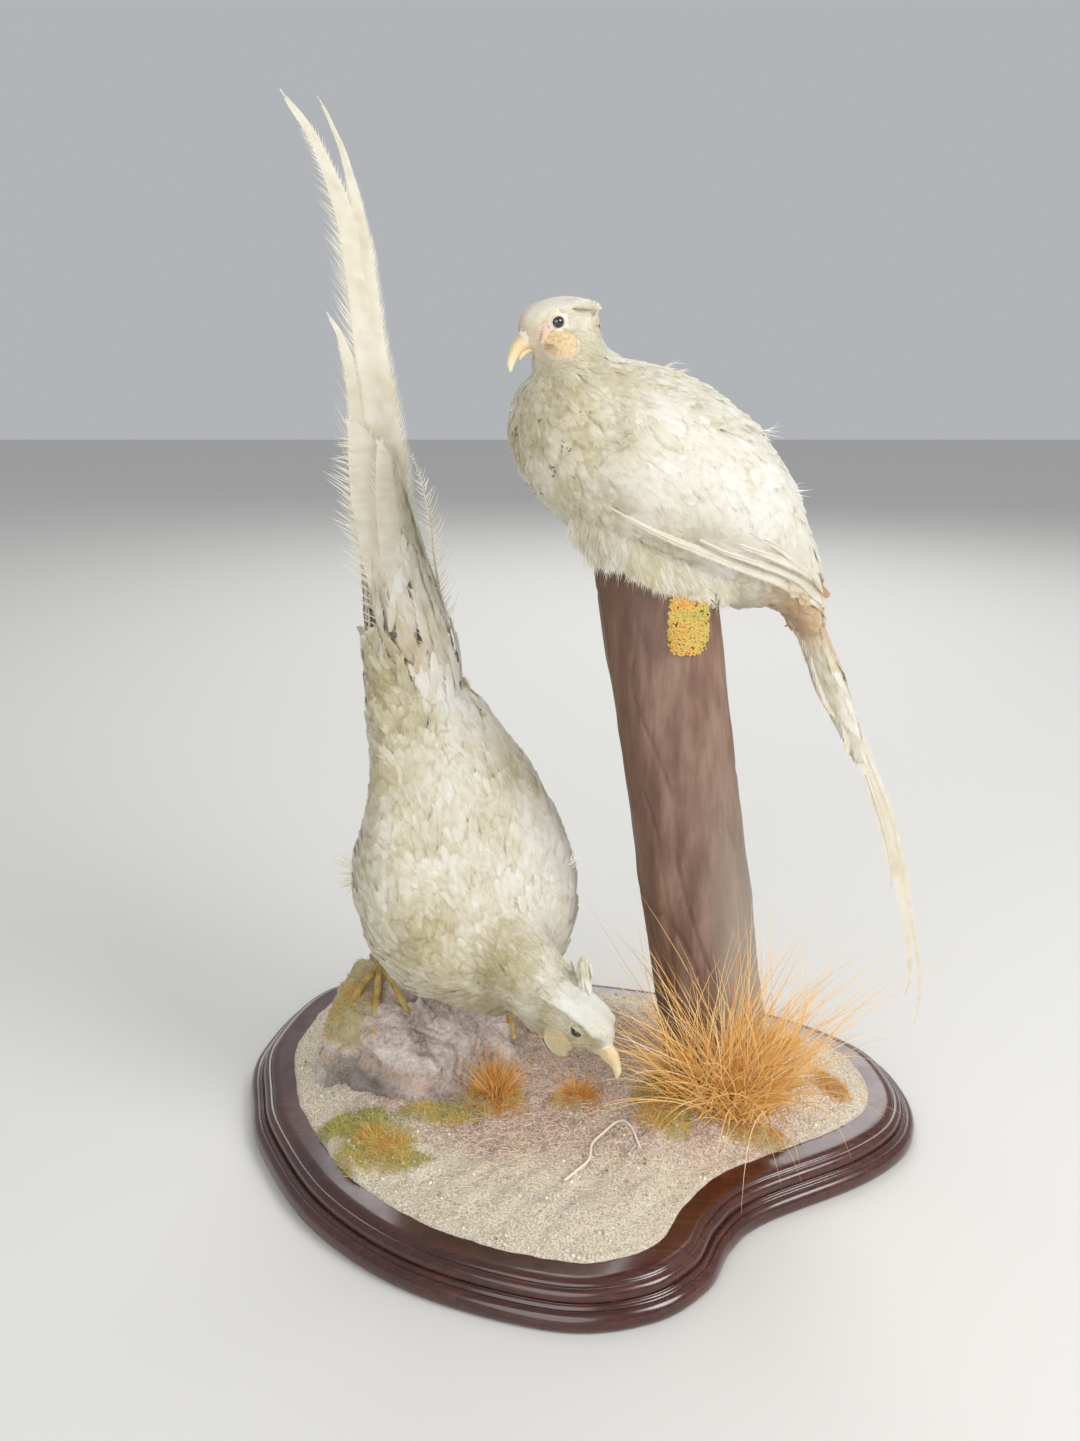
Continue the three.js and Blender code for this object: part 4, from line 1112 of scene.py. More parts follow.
def face_marks(head, points):
    """Bare and coloured places of the face, from 0 to 1, on both sides alike; groove and gape also mark
    where shade is painted.
    """
    x, y, z = head.local(points).T
    side = np.abs(y)
    cheek = np.hypot((x - head.cheek[0]) / 9.8, (z - head.cheek[1]) / 9.2) / head.cheek[2]
    wattle = smooth(1.08, 0.92, cheek) * smooth(7, 9, side)
    rim = np.exp(-((cheek - 1.08) / 0.13) ** 2) * smooth(7, 9, side)
    streak = (smooth(4.6, 2.4, np.abs(x - 8.3 + 0.6 * (z + 3))) * smooth(8.5, 6.0, z)
              * smooth(-12.5, -10, z) * smooth(4, 6.5, side)) * head.flush
    groove = (smooth(1.0, 0.3, np.abs(x - 10.2 + 0.24 * (z + 3))) * smooth(8, 5, z)
              * smooth(-12, -8, z) * smooth(4, 6, side))
    ring = np.hypot(x, z)
    lid = smooth(6.0, 4.8, ring) * smooth(5, 7, side)
    above = z - brow_line(x)
    brow = (np.exp(-(above / np.where(above < 0, 1.5, 3.2)) ** 2) * smooth(15, 10, x)
            * smooth(-36, -28, x) * smooth(2, 7, side))
    gape = smooth(2.6, 0.8, np.hypot((x - 7.5) / 1.6, z + 14.2)) * smooth(3, 5, side)
    lores = smooth(2.4, 0.8, np.abs(z + 5.5 + 0.4 * (x - 12))) * smooth(10, 12, x) * smooth(3, 5, side)
    return {"wattle": np.maximum(wattle, 0.8 * streak), "rim": rim, "lid": lid, "gape": gape,
            "groove": groove, "lores": lores,
            "pink": np.clip(streak + wattle * smooth(-16, -23, z), 0, 1),
            "socket": smooth(4.9, 3.4, ring) * smooth(5, 7, side), "brow": brow * head.brow}


# Where the plumage is whiter (below 0) or more yellowed: each spot's place, reach and amount.
COCK_STAINS = [
    (-89, 50, 314, 17, -0.6), (-124, 30, 302, 26, 0.26), (-140, 45, 330, 22, 0.22),
    (-140, 5, 260, 26, 0.16), (-98, 0, 261, 22, -0.14), (-57, 29, 272, 22, 0.12), (-25, 7, 212, 28, -0.1),
    (-70, -25, 211, 22, -0.12), (-103, -48, 170, 26, 0.26), (-134, -36, 201, 16, 0.08),
    (-46, -56, 162, 24, 0.3), (-60, -35, 118, 26, 0.22), (3, -70, 143, 17, -0.2), (2, 0, 200, 40, -0.26),
    (-40, 40, 290, 30, -0.08)]
PERCHED_STAINS = [
    (14, -16, 552, 18, 0.18), (-11, -30, 539, 24, 0.28), (-35, -26, 514, 26, 0.18),
    (7, -43, 515, 20, 0.12), (63, -43, 485, 30, -0.06), (118, -10, 456, 30, -0.12),
    (-20, -29, 477, 24, 0.1), (40, -30, 446, 20, 0.06), (88, -8, 422, 24, -0.12), (40, 60, 520, 40, 0.08)]


def under_brow(local):
    """The sunken side of the face, below the brow."""
    x, y, z = local.T
    return (smooth(0.5, -2.5, z - brow_line(x)) * smooth(4, 8, np.abs(y)) * smooth(-34, -24, x)
            * smooth(40, 30, np.linalg.norm(local, axis=1)))


def stained(points, stain, spots):
    """A stain with soft round spots, each a place, a reach and an amount, added to it."""
    for *place, reach, amount in spots:
        stain = stain + amount * np.exp(-(np.linalg.norm(points - np.array(place), axis=1) / reach) ** 2)
    return stain


def cock_marks(points):
    """Where the cock is stained, flecked and buff, with painted shade under its brows."""
    x, _, z = points.T
    local = COCK_HEAD.local(points)
    head = smooth(30, 18, np.linalg.norm(local, axis=1))
    stain = stained(points, 0.21 + 0.07 * lumps(points, 30, 31), COCK_STAINS)
    stain -= 0.10 * np.exp(-((x + 86 + 0.28 * (z - 270)) / 8) ** 2) * smooth(215, 240, z)  # down the back
    # painted shade: 0.38 more stain in the sunken face under the brow ridge
    stain += 0.10 * head * smooth(-6, -14, local[:, 2]) + 0.38 * under_brow(local) - 0.14 * head
    speck = smooth(-50, -90, x) * smooth(195, 150, z) * 0.9
    buff = 0.30 * np.exp(-(((x + 118) / 16) ** 2 + ((z - 352) / 20) ** 2))
    return {"stain": stain, "speck": speck, "buff": buff}


def perched_marks(points):
    """Where the perched bird is stained, flecked and buff, with painted shade under its tail."""
    x, _, z = points.T
    local = PERCHED_HEAD.local(points)
    head = smooth(30, 20, np.linalg.norm(local, axis=1))
    stain = 0.10 + 0.07 * lumps(points, 32, 41) + 0.14 * smooth(455, 425, z) * smooth(130, 100, x)
    stain = stained(points, stain, PERCHED_STAINS)
    stain += 0.10 * under_brow(local) - 0.12 * head
    speck = smooth(20, -10, x) * smooth(540, 520, z) * smooth(440, 460, z)
    buff = 0.1 * head + 0.3 * head * smooth(2, 9, local[:, 0]) * smooth(6, -2, local[:, 2])
    # Under the tail, which lies in shade below the wing: painted shade, as more stain and deeper buff;
    # part of the buff is its own.
    under_tail = smooth(112, 128, x) * smooth(418, 402, z)
    stain += 0.15 * under_tail * smooth(355, 385, z)
    buff += 0.7 * under_tail * smooth(350, 378, z)
    return {"stain": stain, "speck": speck, "buff": buff}


# ---------- skins ----------
SKIN_CELL = 1.8  # the width of a face of a skin before the head's are made finer


class Skin:
    """A bird's skin: its mesh, its unwrap and what the plumage needs to know about it."""

    def __init__(self, name, shells, lie, marks, stands_for):
        self.name, self.lie, self.marks, self.head = name, lie, marks, lie.head
        points, faces = remeshed(shells, SKIN_CELL)
        pairs = edge_pairs(faces)
        near_head = smooth(42, 34, np.linalg.norm(self.head.local(points) + [4, 0, 4], axis=1))
        points = relaxed(points, pairs, 7, 0.5, 1 - 0.75 * near_head)
        _, _, _, depth, _ = lie.at(points)
        points = points - normals_of(points, faces) * depth[:, None]
        points = relaxed(points, pairs, 4, 0.5, 1 - 0.8 * near_head)
        for reach in (30, 20):  # finer faces on the head, where lids and folds are cut
            middle = self.head.local(points[faces].mean(1)) + [0, 0, 3]
            points, faces = refined(points, faces, np.linalg.norm(middle, axis=1) < reach)
        head_part = smooth(34, 28, np.linalg.norm(self.head.local(points), axis=1))
        points = relaxed(points, edge_pairs(faces), 3, 0.5, head_part)
        points = self.featured(points, faces)
        self.points, self.faces = points, faces
        self.piece = piece(f"{name}_skin", points, [faces], FACE_SKIN, self.values(points),
                           stands_for=stands_for)
        self.unwrap()
        self.tree = tree_of(points, [faces])
        a, b, c = (points[faces[:, k]] for k in range(3))
        self.face_normals = unit(normals_of(points, faces)[faces].sum(1))
        self.areas = 0.5 * np.linalg.norm(np.cross(b - a, c - a), axis=1)

    def featured(self, points, faces):
        """Presses the eye sockets in and raises the folds of the face."""
        marks = face_marks(self.head, points)
        out = normals_of(points, faces)
        lift = (-3.0 * marks["socket"] + marks["brow"] + 0.65 * marks["rim"]
                - 0.35 * marks["wattle"] - 0.5 * marks["groove"] - 1.2 * marks["gape"]
                - 0.25 * marks["lores"])
        return points + out * lift[:, None]

    def values(self, points):
        """How the skin is coloured at each point."""
        marks = face_marks(self.head, points)
        return {"stain": self.marks(points)["stain"], "wattle": marks["wattle"] * self.head.bare,
                "pink": marks["pink"] * self.head.pink,
                "lid": np.maximum(0.5 * marks["lid"] * self.head.bare, marks["rim"] * 0.3),
                # painted shade: dark in the groove before the eye and the gape at the corner of the mouth
                "dark": 0.4 * np.maximum(marks["gape"], marks["groove"]), "tone": np.zeros(len(points))}

    def unwrap(self):
        """Lays the skin out flat for baking and keeps a place of each face."""
        bpy.context.view_layer.objects.active = self.piece
        self.piece.select_set(True)
        self.piece.data.uv_layers.new(name="OFBake")
        bpy.ops.object.mode_set(mode="EDIT")
        bpy.ops.mesh.select_all(action="SELECT")
        bpy.ops.uv.smart_project(angle_limit=1.15, island_margin=0.002)
        bpy.ops.object.mode_set(mode="OBJECT")
        self.piece.select_set(False)
        mesh = self.piece.data
        starts = numbers_of(mesh.polygons, "loop_start", 1, np.int32)[:, 0]
        self.face_uv = numbers_of(mesh.uv_layers["OFBake"].data, "uv", 2)[starts]

    def nearest(self, places):
        """The skin's nearest place to each, the way it faces there, and the face."""
        hits = [self.tree.find_nearest(p) for p in places.tolist()]
        faces = np.array([hit[2] for hit in hits])
        return np.array([tuple(hit[0]) for hit in hits]), self.face_normals[faces], faces

    def roots(self, spacing, keep):
        """Places spread over the skin about spacing apart, where keep allows. There are seven tries for
        each, and the first in each cell of a grid stays."""
        count = int(7 * self.areas.sum() / spacing ** 2)
        face = rng.choice(len(self.faces), count, p=self.areas / self.areas.sum())
        u, v = rng.random((2, count, 1))
        u, v = np.where(u + v > 1, 1 - u, u), np.where(u + v > 1, 1 - v, v)
        a, b, c = (self.points[self.faces[face, k]] for k in range(3))
        place = a + (b - a) * u + (c - a) * v
        _, first = np.unique(np.floor(place / spacing + 50.37).astype(int), axis=0, return_index=True)
        place, face = place[first], face[first]
        kept = keep(place)
        return place[kept], face[kept]


BARE_QUILL = 0.07  # of a shaft's length has no barbs


def plumes(path, face, width, barbs, leaf=0.5, slant=1.3, ragged=0.12, rows=4, bends=1, hair=1.0,
           left=None, right=None, cup=0.12, tilt=0.35, tip=0.95, leaf_end=0.94):
    """Feathers from their shafts. path and face are (feather, step, xyz): points along each shaft and
    the way its face looks. A closed leaf fills the middle of the vane, and barbs in small locks make
    its edge. slant is how far a barb runs ahead for each step out; hair its width against its pitch.
    left and right give the vane's reach on each side for a share along the shaft."""
    count, steps, _ = path.shape
    ahead = unit(np.gradient(path, axis=1))
    side = unit(np.cross(ahead, face))
    length = np.linalg.norm(np.diff(path, axis=1), axis=2).sum(1)[:, None]
    row = np.arange(count)[:, None]
    barbs = int(barbs)

    def put(s, x, h):
        """Points at shares s along the shafts, x out to the side and h above the vane."""
        spot = np.clip(s, 0, 1) * (steps - 1)
        i = np.minimum(spot.astype(int), steps - 2)
        f = (spot - i)[..., None]
        mix = [a[row, i] * (1 - f) + a[row, i + 1] * f for a in (path, side, face, ahead)]
        past = (np.maximum(s, 1) - 1) * length
        return mix[0] + mix[1] * x[..., None] + mix[2] * h[..., None] + mix[3] * past[..., None]

    def outline(s):
        """A rounded vane's reach along the shaft, 1 where it is widest."""
        return np.sqrt(np.sin(math.pi * np.clip(0.06 + 0.94 * s ** 0.85, 0, 1)) + 1e-6)

    reach = {1: left or (lambda s: 0.5 * width[:, None] * outline(s)),
             -1: right or (lambda s: 0.5 * width[:, None] * outline(s))}
    s_rows = np.linspace(0, leaf_end, rows)[None] * np.ones((count, 1))
    points, shares, faces = [], [], []
    zero = np.zeros_like(s_rows)
    for x in (leaf * reach[1](s_rows), zero, -leaf * reach[-1](s_rows)):
        points.append(put(s_rows, x, np.where(x == 0, 0.08 * width[:, None], 0) - cup * np.abs(x)))
        shares.append(s_rows)
    k = np.arange(rows - 1)
    quads = np.vstack([np.stack([k, k + rows, k + 1 + rows, k + 1], -1) + a * rows for a in (0, 1)])
    faces.append(halved(quads))
    made = 3 * rows
    pitch = (tip - BARE_QUILL) / barbs
    spot = BARE_QUILL + pitch * (np.arange(barbs) + 0.5)[None]
    u = np.linspace(0, 1, bends + 2)
    for way in (1, -1):
        s0 = spot + rng.normal(0, 0.12 * pitch, (count, barbs))
        lean = 1 + ragged * rng.normal(size=(count, barbs))
        lock = np.sin(np.arange(barbs)[None] * rng.uniform(1.2, 2.4, (count, 1))
                      + rng.uniform(0, 6, (count, 1)))
        out = reach[way](np.clip(s0 + 0.06, 0, 1)) * np.clip(lean, 0.45, 1.35)
        ahead_by = (slant * out / length) * (1 + 0.25 * ragged * 4 * lock)
        raise_by = tilt * rng.normal(size=(count, barbs))
        half = 0.5 * pitch * hair
        grid = []
        for level, share in enumerate(u):
            s = s0 + ahead_by * share ** 1.25
            x = way * out * share
            h = -cup * np.abs(x) * (0.4 + share) + raise_by * share
            thin = half * (1 - 0.55 * share)
            if level == bends + 1:
                grid.append(put(s, x, h)[:, :, None])
            else:
                edge = 0.25 * raise_by
                grid.append(np.stack([put(s - thin, x, h - edge), put(s + thin, x, h + edge)], 2))
        block = np.concatenate(grid, axis=2)
        per = block.shape[2]
        points.append(block.reshape(count, -1, 3))
        level_share = np.repeat(u[:, None], 2, 1).ravel()[:per]
        along = np.clip(s0[..., None] + ahead_by[..., None] * level_share, 0, 1)
        shares.append(along.reshape(count, -1))
        ribbon = [[a, a + i, a + j] for a in range(0, 2 * bends, 2) for i, j in ((1, 3), (3, 2))]
        ribbon = np.array(ribbon + [[2 * bends, 2 * bends + 1, 2 * bends + 2]])
        faces.append(copied(ribbon, barbs, per) + made)
        made += per * barbs
    points = np.concatenate(points, axis=1)
    shares = np.concatenate(shares, axis=1)
    return points, copied(np.vstack(faces), count, made), shares


PATCH = 0.003  # a tuft's patch on the unwrap
FLECKED = 0.035  # of the feathers have a brown streak
MOST = 190_000  # triangles in a piece of the coat


def coat_piece(bird, part, face, feathers, looks, core=0, even=0.7):
    """Feathers as one piece in the plumage's colours; face is the skin's face under each root. A few
    have a brown streak down their middle, the first core points, where the bird is flecked. looks is
    the way the coat faces along each feather; its surface is shaded mostly that way, so that the coat
    looks soft and closed."""
    points, faces, shares = feathers
    count, per, _ = points.shape
    flat = points.reshape(-1, 3)
    coat = looks[:, :1] * (1 - shares[..., None]) + looks[:, -1:] * shares[..., None]
    coat = unit(coat).reshape(-1, 3)
    a, b, c = (flat[faces[:, k]] for k in range(3))
    away = (np.cross(b - a, c - a) * coat[faces[:, 0]]).sum(1) < 0
    faces = np.where(away[:, None], faces[:, ::-1], faces)
    normals = unit(even * coat + (1 - even) * normals_of(flat, faces))
    own = bird.marks(np.repeat(points[:, 0], per, 0))
    fine = bird.marks(flat)
    flecked = (rng.random((count, 1)) < FLECKED) & (np.arange(per)[None] < core) & (shares > 0.4)
    tone = 0.05 + rng.normal(0, 0.14, count) + 0.36 * lumps(points[:, 0] * [1, 1, 0.6], 11, 51)
    tone = np.repeat(tone, per) + rng.normal(0, 0.26, count * per)
    spread = points - points.mean(1, keepdims=True)
    wide = np.abs(spread).max(axis=(1, 2))[:, None]
    patch = np.stack([(spread[..., 0] + spread[..., 2]) / (2 * wide), spread[..., 1] / wide], -1)
    uv = bird.face_uv[face][:, None] + PATCH * 0.5 * patch
    values = {"stain": 0.5 * (own["stain"] + fine["stain"]), "speck": fine["speck"] * flecked.ravel(),
              "buff": 0.5 * (own["buff"] + fine["buff"]), "tone": tone, "along": shares.ravel()}
    piece(f"{bird.name}_{part}", flat, [faces], PLUMAGE, values, uv=uv.reshape(-1, 2),
          normals=normals)


def walked(skin, place, face, heading, length, rise, steps):
    """Shafts that set off from their roots and lie along the skin, tips rise above it."""
    stride = (length / steps)[:, None]
    normal = skin.face_normals[face]
    path, looks = [place + normal * (0.4 * rise)[:, None]], [normal]
    at = place
    for step in range(1, steps + 1):
        heading = unit(heading - (heading * normal).sum(1, keepdims=True) * normal)
        straight = at + heading * stride
        near, turned, _ = skin.nearest(straight)
        free = (turned * normal).sum(1, keepdims=True) < 0.62  # off an edge, where the feather runs on
        at, normal = np.where(free, straight, near), np.where(free, normal, turned)
        stride = np.where(free, 0.5 * stride, stride)
        share = step / steps
        path.append(at + normal * (rise * (0.4 + 0.6 * share))[:, None])
        looks.append(normal)
    return np.stack(path, 1), np.stack(looks, 1)


def plumed(skin, part, spacing, low, high, steps, **look):
    """Feathers over the part of a skin where they are from low to high in length."""
    def keep(place):
        """Off the bill, the bare skin and the eyes, and fewer the longer the feathers are."""
        marks = face_marks(skin.head, place)
        _, length, _, _, on_head = skin.lie.at(place)
        x, y, z = skin.head.local(place).T
        bill = (x > 18.5) & (np.abs(y) < 9) & (z > -26) & (z < -4)
        bare = (marks["wattle"] > 0.45) | (marks["lid"] > 0.5) | (marks["gape"] > 0.4)
        thin = rng.random(len(place)) < np.clip((0.235 * length / spacing) ** -2, 0, 1)
        return (length >= low) & (length < high) & thin & ~bill & ~(bare & (on_head > 0.5))

    place, face = skin.roots(spacing, keep)
    heading, length, width, depth, _ = skin.lie.at(place)
    normal = skin.face_normals[face]
    side = np.cross(normal, heading)
    drift = (0.6 * lumps(place, 24, 3) + 0.3 * lumps(place, 11, 4)) * smooth(6, 14, length)
    heading = unit(heading + side * (drift + rng.normal(0, 0.1, len(place)))[:, None])
    length = length * rng.uniform(0.82, 1.15, len(place))
    rise = depth * (0.94 + 0.36 * lumps(place * [1, 1, 0.6], 15, 6) * smooth(6, 14, length)
                    + rng.normal(0, 0.05, len(place)))
    path, looks = walked(skin, place, face, heading, length, rise, steps)
    made = plumes(path, looks, width * rng.uniform(0.85, 1.15, len(place)), **look)
    one = made[1][:len(made[1]) // len(place)]  # the faces of the first feather
    groups = math.ceil(len(made[1]) / MOST)
    order = np.argsort(place @ np.array([0.3, -0.8, 0.5]))
    for number, rows in enumerate(np.array_split(order, groups)):
        rows = np.sort(rows)
        block = copied(one, len(rows), made[0].shape[1])
        coat_piece(skin, part + (f"_{number + 1}" if groups > 1 else ""), face[rows],
                   (made[0][rows], block, made[2][rows]), looks[rows], 3 * look["rows"])


COCK_FLESH = ["cock_trunk", "cock_neck", "cock_wing_left", "cock_wing_right", "cock_thigh_left",
              "cock_thigh_right"]
cock_tail_root = trimmed(cad_shell("cock_tail"), [((-125, 70, 362), (-0.1, 0, 1))])
cock = Skin("cock", [cad_shell(name) for name in COCK_FLESH] + [cock_tail_root] + head_shells(COCK_HEAD),
            Lie(COCK_GUIDES, COCK_HEAD), cock_marks, COCK_FLESH + ["cock_head"])

PERCHED_NECK = [
    (14, 12, 498, 46, 46, 46), (0, 7, 527, 37, 37, 34), (-10, 3, 548, 28, 31, 26),
    (-14, 1, 564, 21, 26, 19), (-17, 0, 575, 17, 22, 14), (-19, -1, 583, 13, 19, 10)]
perched_body = trimmed(cad_shell("perched_bird"), [
    ((-12, 2, 556), (-0.25, -0.1, 0.96)), ((160, 58, 374), (0.4, 0.05, -0.92))])
perched = Skin("perched", [perched_body, lofted(swept(PERCHED_NECK, 20, 40, (1, 0.3, 0.3)))]
               + head_shells(PERCHED_HEAD), Lie(PERCHED_GUIDES, PERCHED_HEAD), perched_marks,
               ["perched_bird"])

COAT = {  # spacing, shortest and longest feather, and what its feathers are like
    "face_down": (1.2, 0, 7.0, dict(barbs=2, leaf=0.7, rows=3, steps=2, ragged=0.1, tilt=0.03, slant=2.0,
                                    hair=1.3)),
    "neck_plumes": (2.2, 7.0, 14.5, dict(barbs=7, leaf=0.7, rows=5, steps=3, ragged=0.12, tilt=0.05,
                                         slant=1.8, hair=1.5, cup=0.06)),
    "body_plumes": (4.6, 14.5, 99, dict(barbs=13, leaf=0.78, rows=6, steps=5, ragged=0.12, tilt=0.08,
                                        slant=1.7, hair=1.5, cup=0.06)),
}
for bird in (cock, perched):
    for part, (spacing, low, high, look) in COAT.items():
        plumed(bird, part, spacing, low, high, **look)


# ---------- eyes, lids and bills ----------
def node_of(bird, part):
    """The bird's own solid of a part, if it has one."""
    name = f"{bird.name}_{part}"
    return [name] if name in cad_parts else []


def build_eye(bird, side, which):
    """A glass eye: a ball with a slightly fuller front, dark towards the middle."""
    points, faces = egg((0, 0, 0), (1, 1, 1), 40, 48)
    points = points[:, [0, 2, 1]]
    out = np.arccos(np.clip(points[:, 1], -1, 1)) / (math.pi / 2)
    points = points * EYE_RADIUS * (1 + 0.05 * smooth(0.6, 0.0, out))[:, None]
    points[:, 1] = side * (points[:, 1] + EYE_OUT)
    piece(f"{bird.name}_glass_eye_{which}", bird.head.out(points), faces, GLASS_EYE,
          {"along": out}, stands_for=node_of(bird, f"eye_{which}"))


def lid_shell(bird, side):
    """The two lids of an eye as one ring: its edge on the ball, its outside sunk into the face."""
    long, high, low = bird.head.opening
    sides = 72
    turn = turns(sides)
    corner = np.abs(np.sin(turn)) ** 0.3 * np.sign(np.sin(turn))
    edge = np.stack([long * np.cos(turn),
                     np.where(corner > 0, high, low) * np.abs(np.sin(turn)) ** 0.7 * corner], -1)
    far = np.stack([5.9 * np.cos(turn), 5.5 * np.sin(turn)], -1)
    outer = np.column_stack([far[:, 0], np.full(sides, side * 15.5), far[:, 1]])
    outer = bird.nearest(bird.head.out(outer))[0]
    skin_height = side * bird.head.local(outer)[:, 1] - 0.25
    rings, lid = [], []
    for share, lift, pale in ((0, -0.9, 1), (0, 0.1, 1), (0.05, 0.42, 1), (0.16, 0.55, 1),
                              (0.34, 0.45, 0.8), (0.6, 0.3, 0.4), (0.85, 0.12, 0.1), (1, 0, 0)):
        flat = edge * (1 - share) + far * share
        radius = np.minimum(np.linalg.norm(flat, axis=1), 4.5)
        ball = EYE_OUT + 1.05 * np.sqrt(EYE_RADIUS ** 2 - radius ** 2)
        blend = smooth(0, 1, share ** 0.8)
        height = np.maximum(ball * (1 - blend) + skin_height * blend, ball if share < 0.7 else -99) + lift
        rings.append(np.stack([flat[:, 0], side * height, flat[:, 1]], -1))
        lid.append(np.full(sides, pale))
    points, faces = lofted(np.array(rings), capped=False)
    return bird.head.out(points), faces, np.concatenate(lid)


def build_bill(bird, half, stations):
    """The upper or lower half of a bill."""
    steps, sides = 40, 28
    rings = swept(stations, steps, sides, (0, 0, 1), power=2.0)
    if half == "upper":  # nostrils: a long pit on each side near the root
        x, y, z = rings[..., 0], rings[..., 1], rings[..., 2]
        pit = smooth(1.6, 0.3, np.hypot((x - 19.5) / 1.9, (z + 8.8 + 0.3 * (x - 19.5)) * 1.1))
        rings[..., 1] = y - np.sign(y) * 1.1 * pit * smooth(1.5, 3, np.abs(y))
    points, faces = lofted(rings)
    points[:, 0] = 12 + (points[:, 0] - 12) * bird.head.bill
    shade = np.append(np.repeat(np.linspace(0, 1, steps + 1), sides), [0, 1])
    piece(f"{bird.name}_{half}_horn", bird.head.out(points), faces, HORN, {"along": shade},
          stands_for=node_of(bird, f"{half}_bill"))


for bird in (cock, perched):
    build_bill(bird, "upper", UPPER_BILL)
    build_bill(bird, "lower", LOWER_BILL)
    for side, which in ((1, "left"), (-1, "right")):
        build_eye(bird, side, which)
    lids = [lid_shell(bird, 1), lid_shell(bird, -1)]
    points, faces = joined([lid[:2] for lid in lids])
    shade = np.concatenate([lid[2] for lid in lids]) * bird.head.bare
    piece(f"{bird.name}_eyelids", points, faces, FACE_SKIN,
          {"lid": shade, "stain": 0 * shade + 0.8 - 0.7 * bird.head.bare})


# ---------- tails ----------
# Each long feather: rows of [x, y, z, reach to its left, reach to its right] from root to tip.
COCK_TAIL = {
    "longest": [(-129, 73, 348, 18, 12), (-136, 77, 403, 22.1, 14.7), (-139, 79, 439, 22.5, 15),
        (-143, 81, 474, 22.3, 14.8), (-144, 83, 508, 20, 13.3), (-145, 85, 534, 17.8, 11.8),
        (-147, 86, 555, 16.6, 11.1), (-149, 87, 576, 16, 10.7), (-151, 89, 596, 15.4, 10.3),
        (-154, 90, 617, 15.4, 10.2), (-157, 91, 637, 14.3, 9.5), (-163, 92, 657, 12.2, 8.1),
        (-171, 93, 677, 9.1, 6.1), (-179, 94, 694, 7, 4.6), (-187, 95, 706, 6, 4.4),
        (-195, 96, 716, 4, 2.7), (-200, 96, 723, 0.7, 0.5)],
    "second": [(-118, 77, 347, 15.6, 12.7), (-124, 80, 402, 16.4, 13.4), (-128, 82, 438, 16.7, 13.7),
        (-131, 84, 473, 17.1, 14), (-134, 87, 508, 15.2, 12.5), (-137, 88, 534, 13.2, 10.8),
        (-140, 89, 555, 11.7, 9.6), (-143, 91, 584, 10.2, 8.4), (-145, 92, 609, 9, 7.3),
        (-147, 93, 625, 8.7, 7.1), (-150, 94, 641, 8, 6.5), (-153, 95, 657, 6.8, 5.5),
        (-157, 96, 673, 5.3, 4.4), (-161, 97, 687, 4, 3.2), (-167, 98, 701, 3, 2.5),
        (-172, 98, 712, 2.1, 1.7), (-176, 99, 719, 0.5, 0.4)],
    "side": [(-141, 71, 353, 9.5, 7.8), (-148, 73, 413, 11.3, 9.2), (-152, 75, 448, 10.7, 8.8),
        (-154, 76, 483, 9.6, 7.9), (-155, 77, 509, 8.1, 6.7), (-157, 77, 530, 6.2, 5.1),
        (-159, 78, 547, 5.4, 4.4), (-162, 78, 559, 5.2, 4.2), (-166, 79, 570, 4, 3.4),
        (-171, 79, 578, 2.1, 1.7), (-173, 79, 582, 0.7, 0.6)],
    "frayed": [(-132, 67, 352, 16.3, 10), (-137, 68, 396, 21, 12.9), (-140, 69, 418, 23.7, 14.5),
        (-142, 69, 440, 25.2, 15.4), (-145, 70, 458, 25, 15.4), (-146, 70, 475, 24.4, 14.9),
        (-149, 71, 492, 20.8, 12.7), (-154, 71, 503, 13, 8.6), (-160, 71, 512, 4.3, 2.6)],
    "inner": [(-125, 65, 353, 12.6, 12.6), (-131, 66, 405, 14.7, 14.7), (-134, 66, 432, 14.6, 14.6),
        (-136, 67, 458, 13.1, 13.1), (-137, 67, 484, 9.1, 9.1), (-139, 67, 497, 3, 3)],
    "loose": [(-100, 82, 341, 4.6, 5.6), (-99, 82, 355, 7, 8.6), (-99, 83, 374, 10.3, 12.5),
        (-102, 83, 393, 10.2, 12.5), (-105, 83, 415, 9.3, 11.4), (-107, 84, 438, 8.9, 10.8),
        (-110, 84, 456, 7.6, 9.3), (-114, 85, 473, 5.2, 6.3), (-119, 85, 486, 1, 1.2)],
}
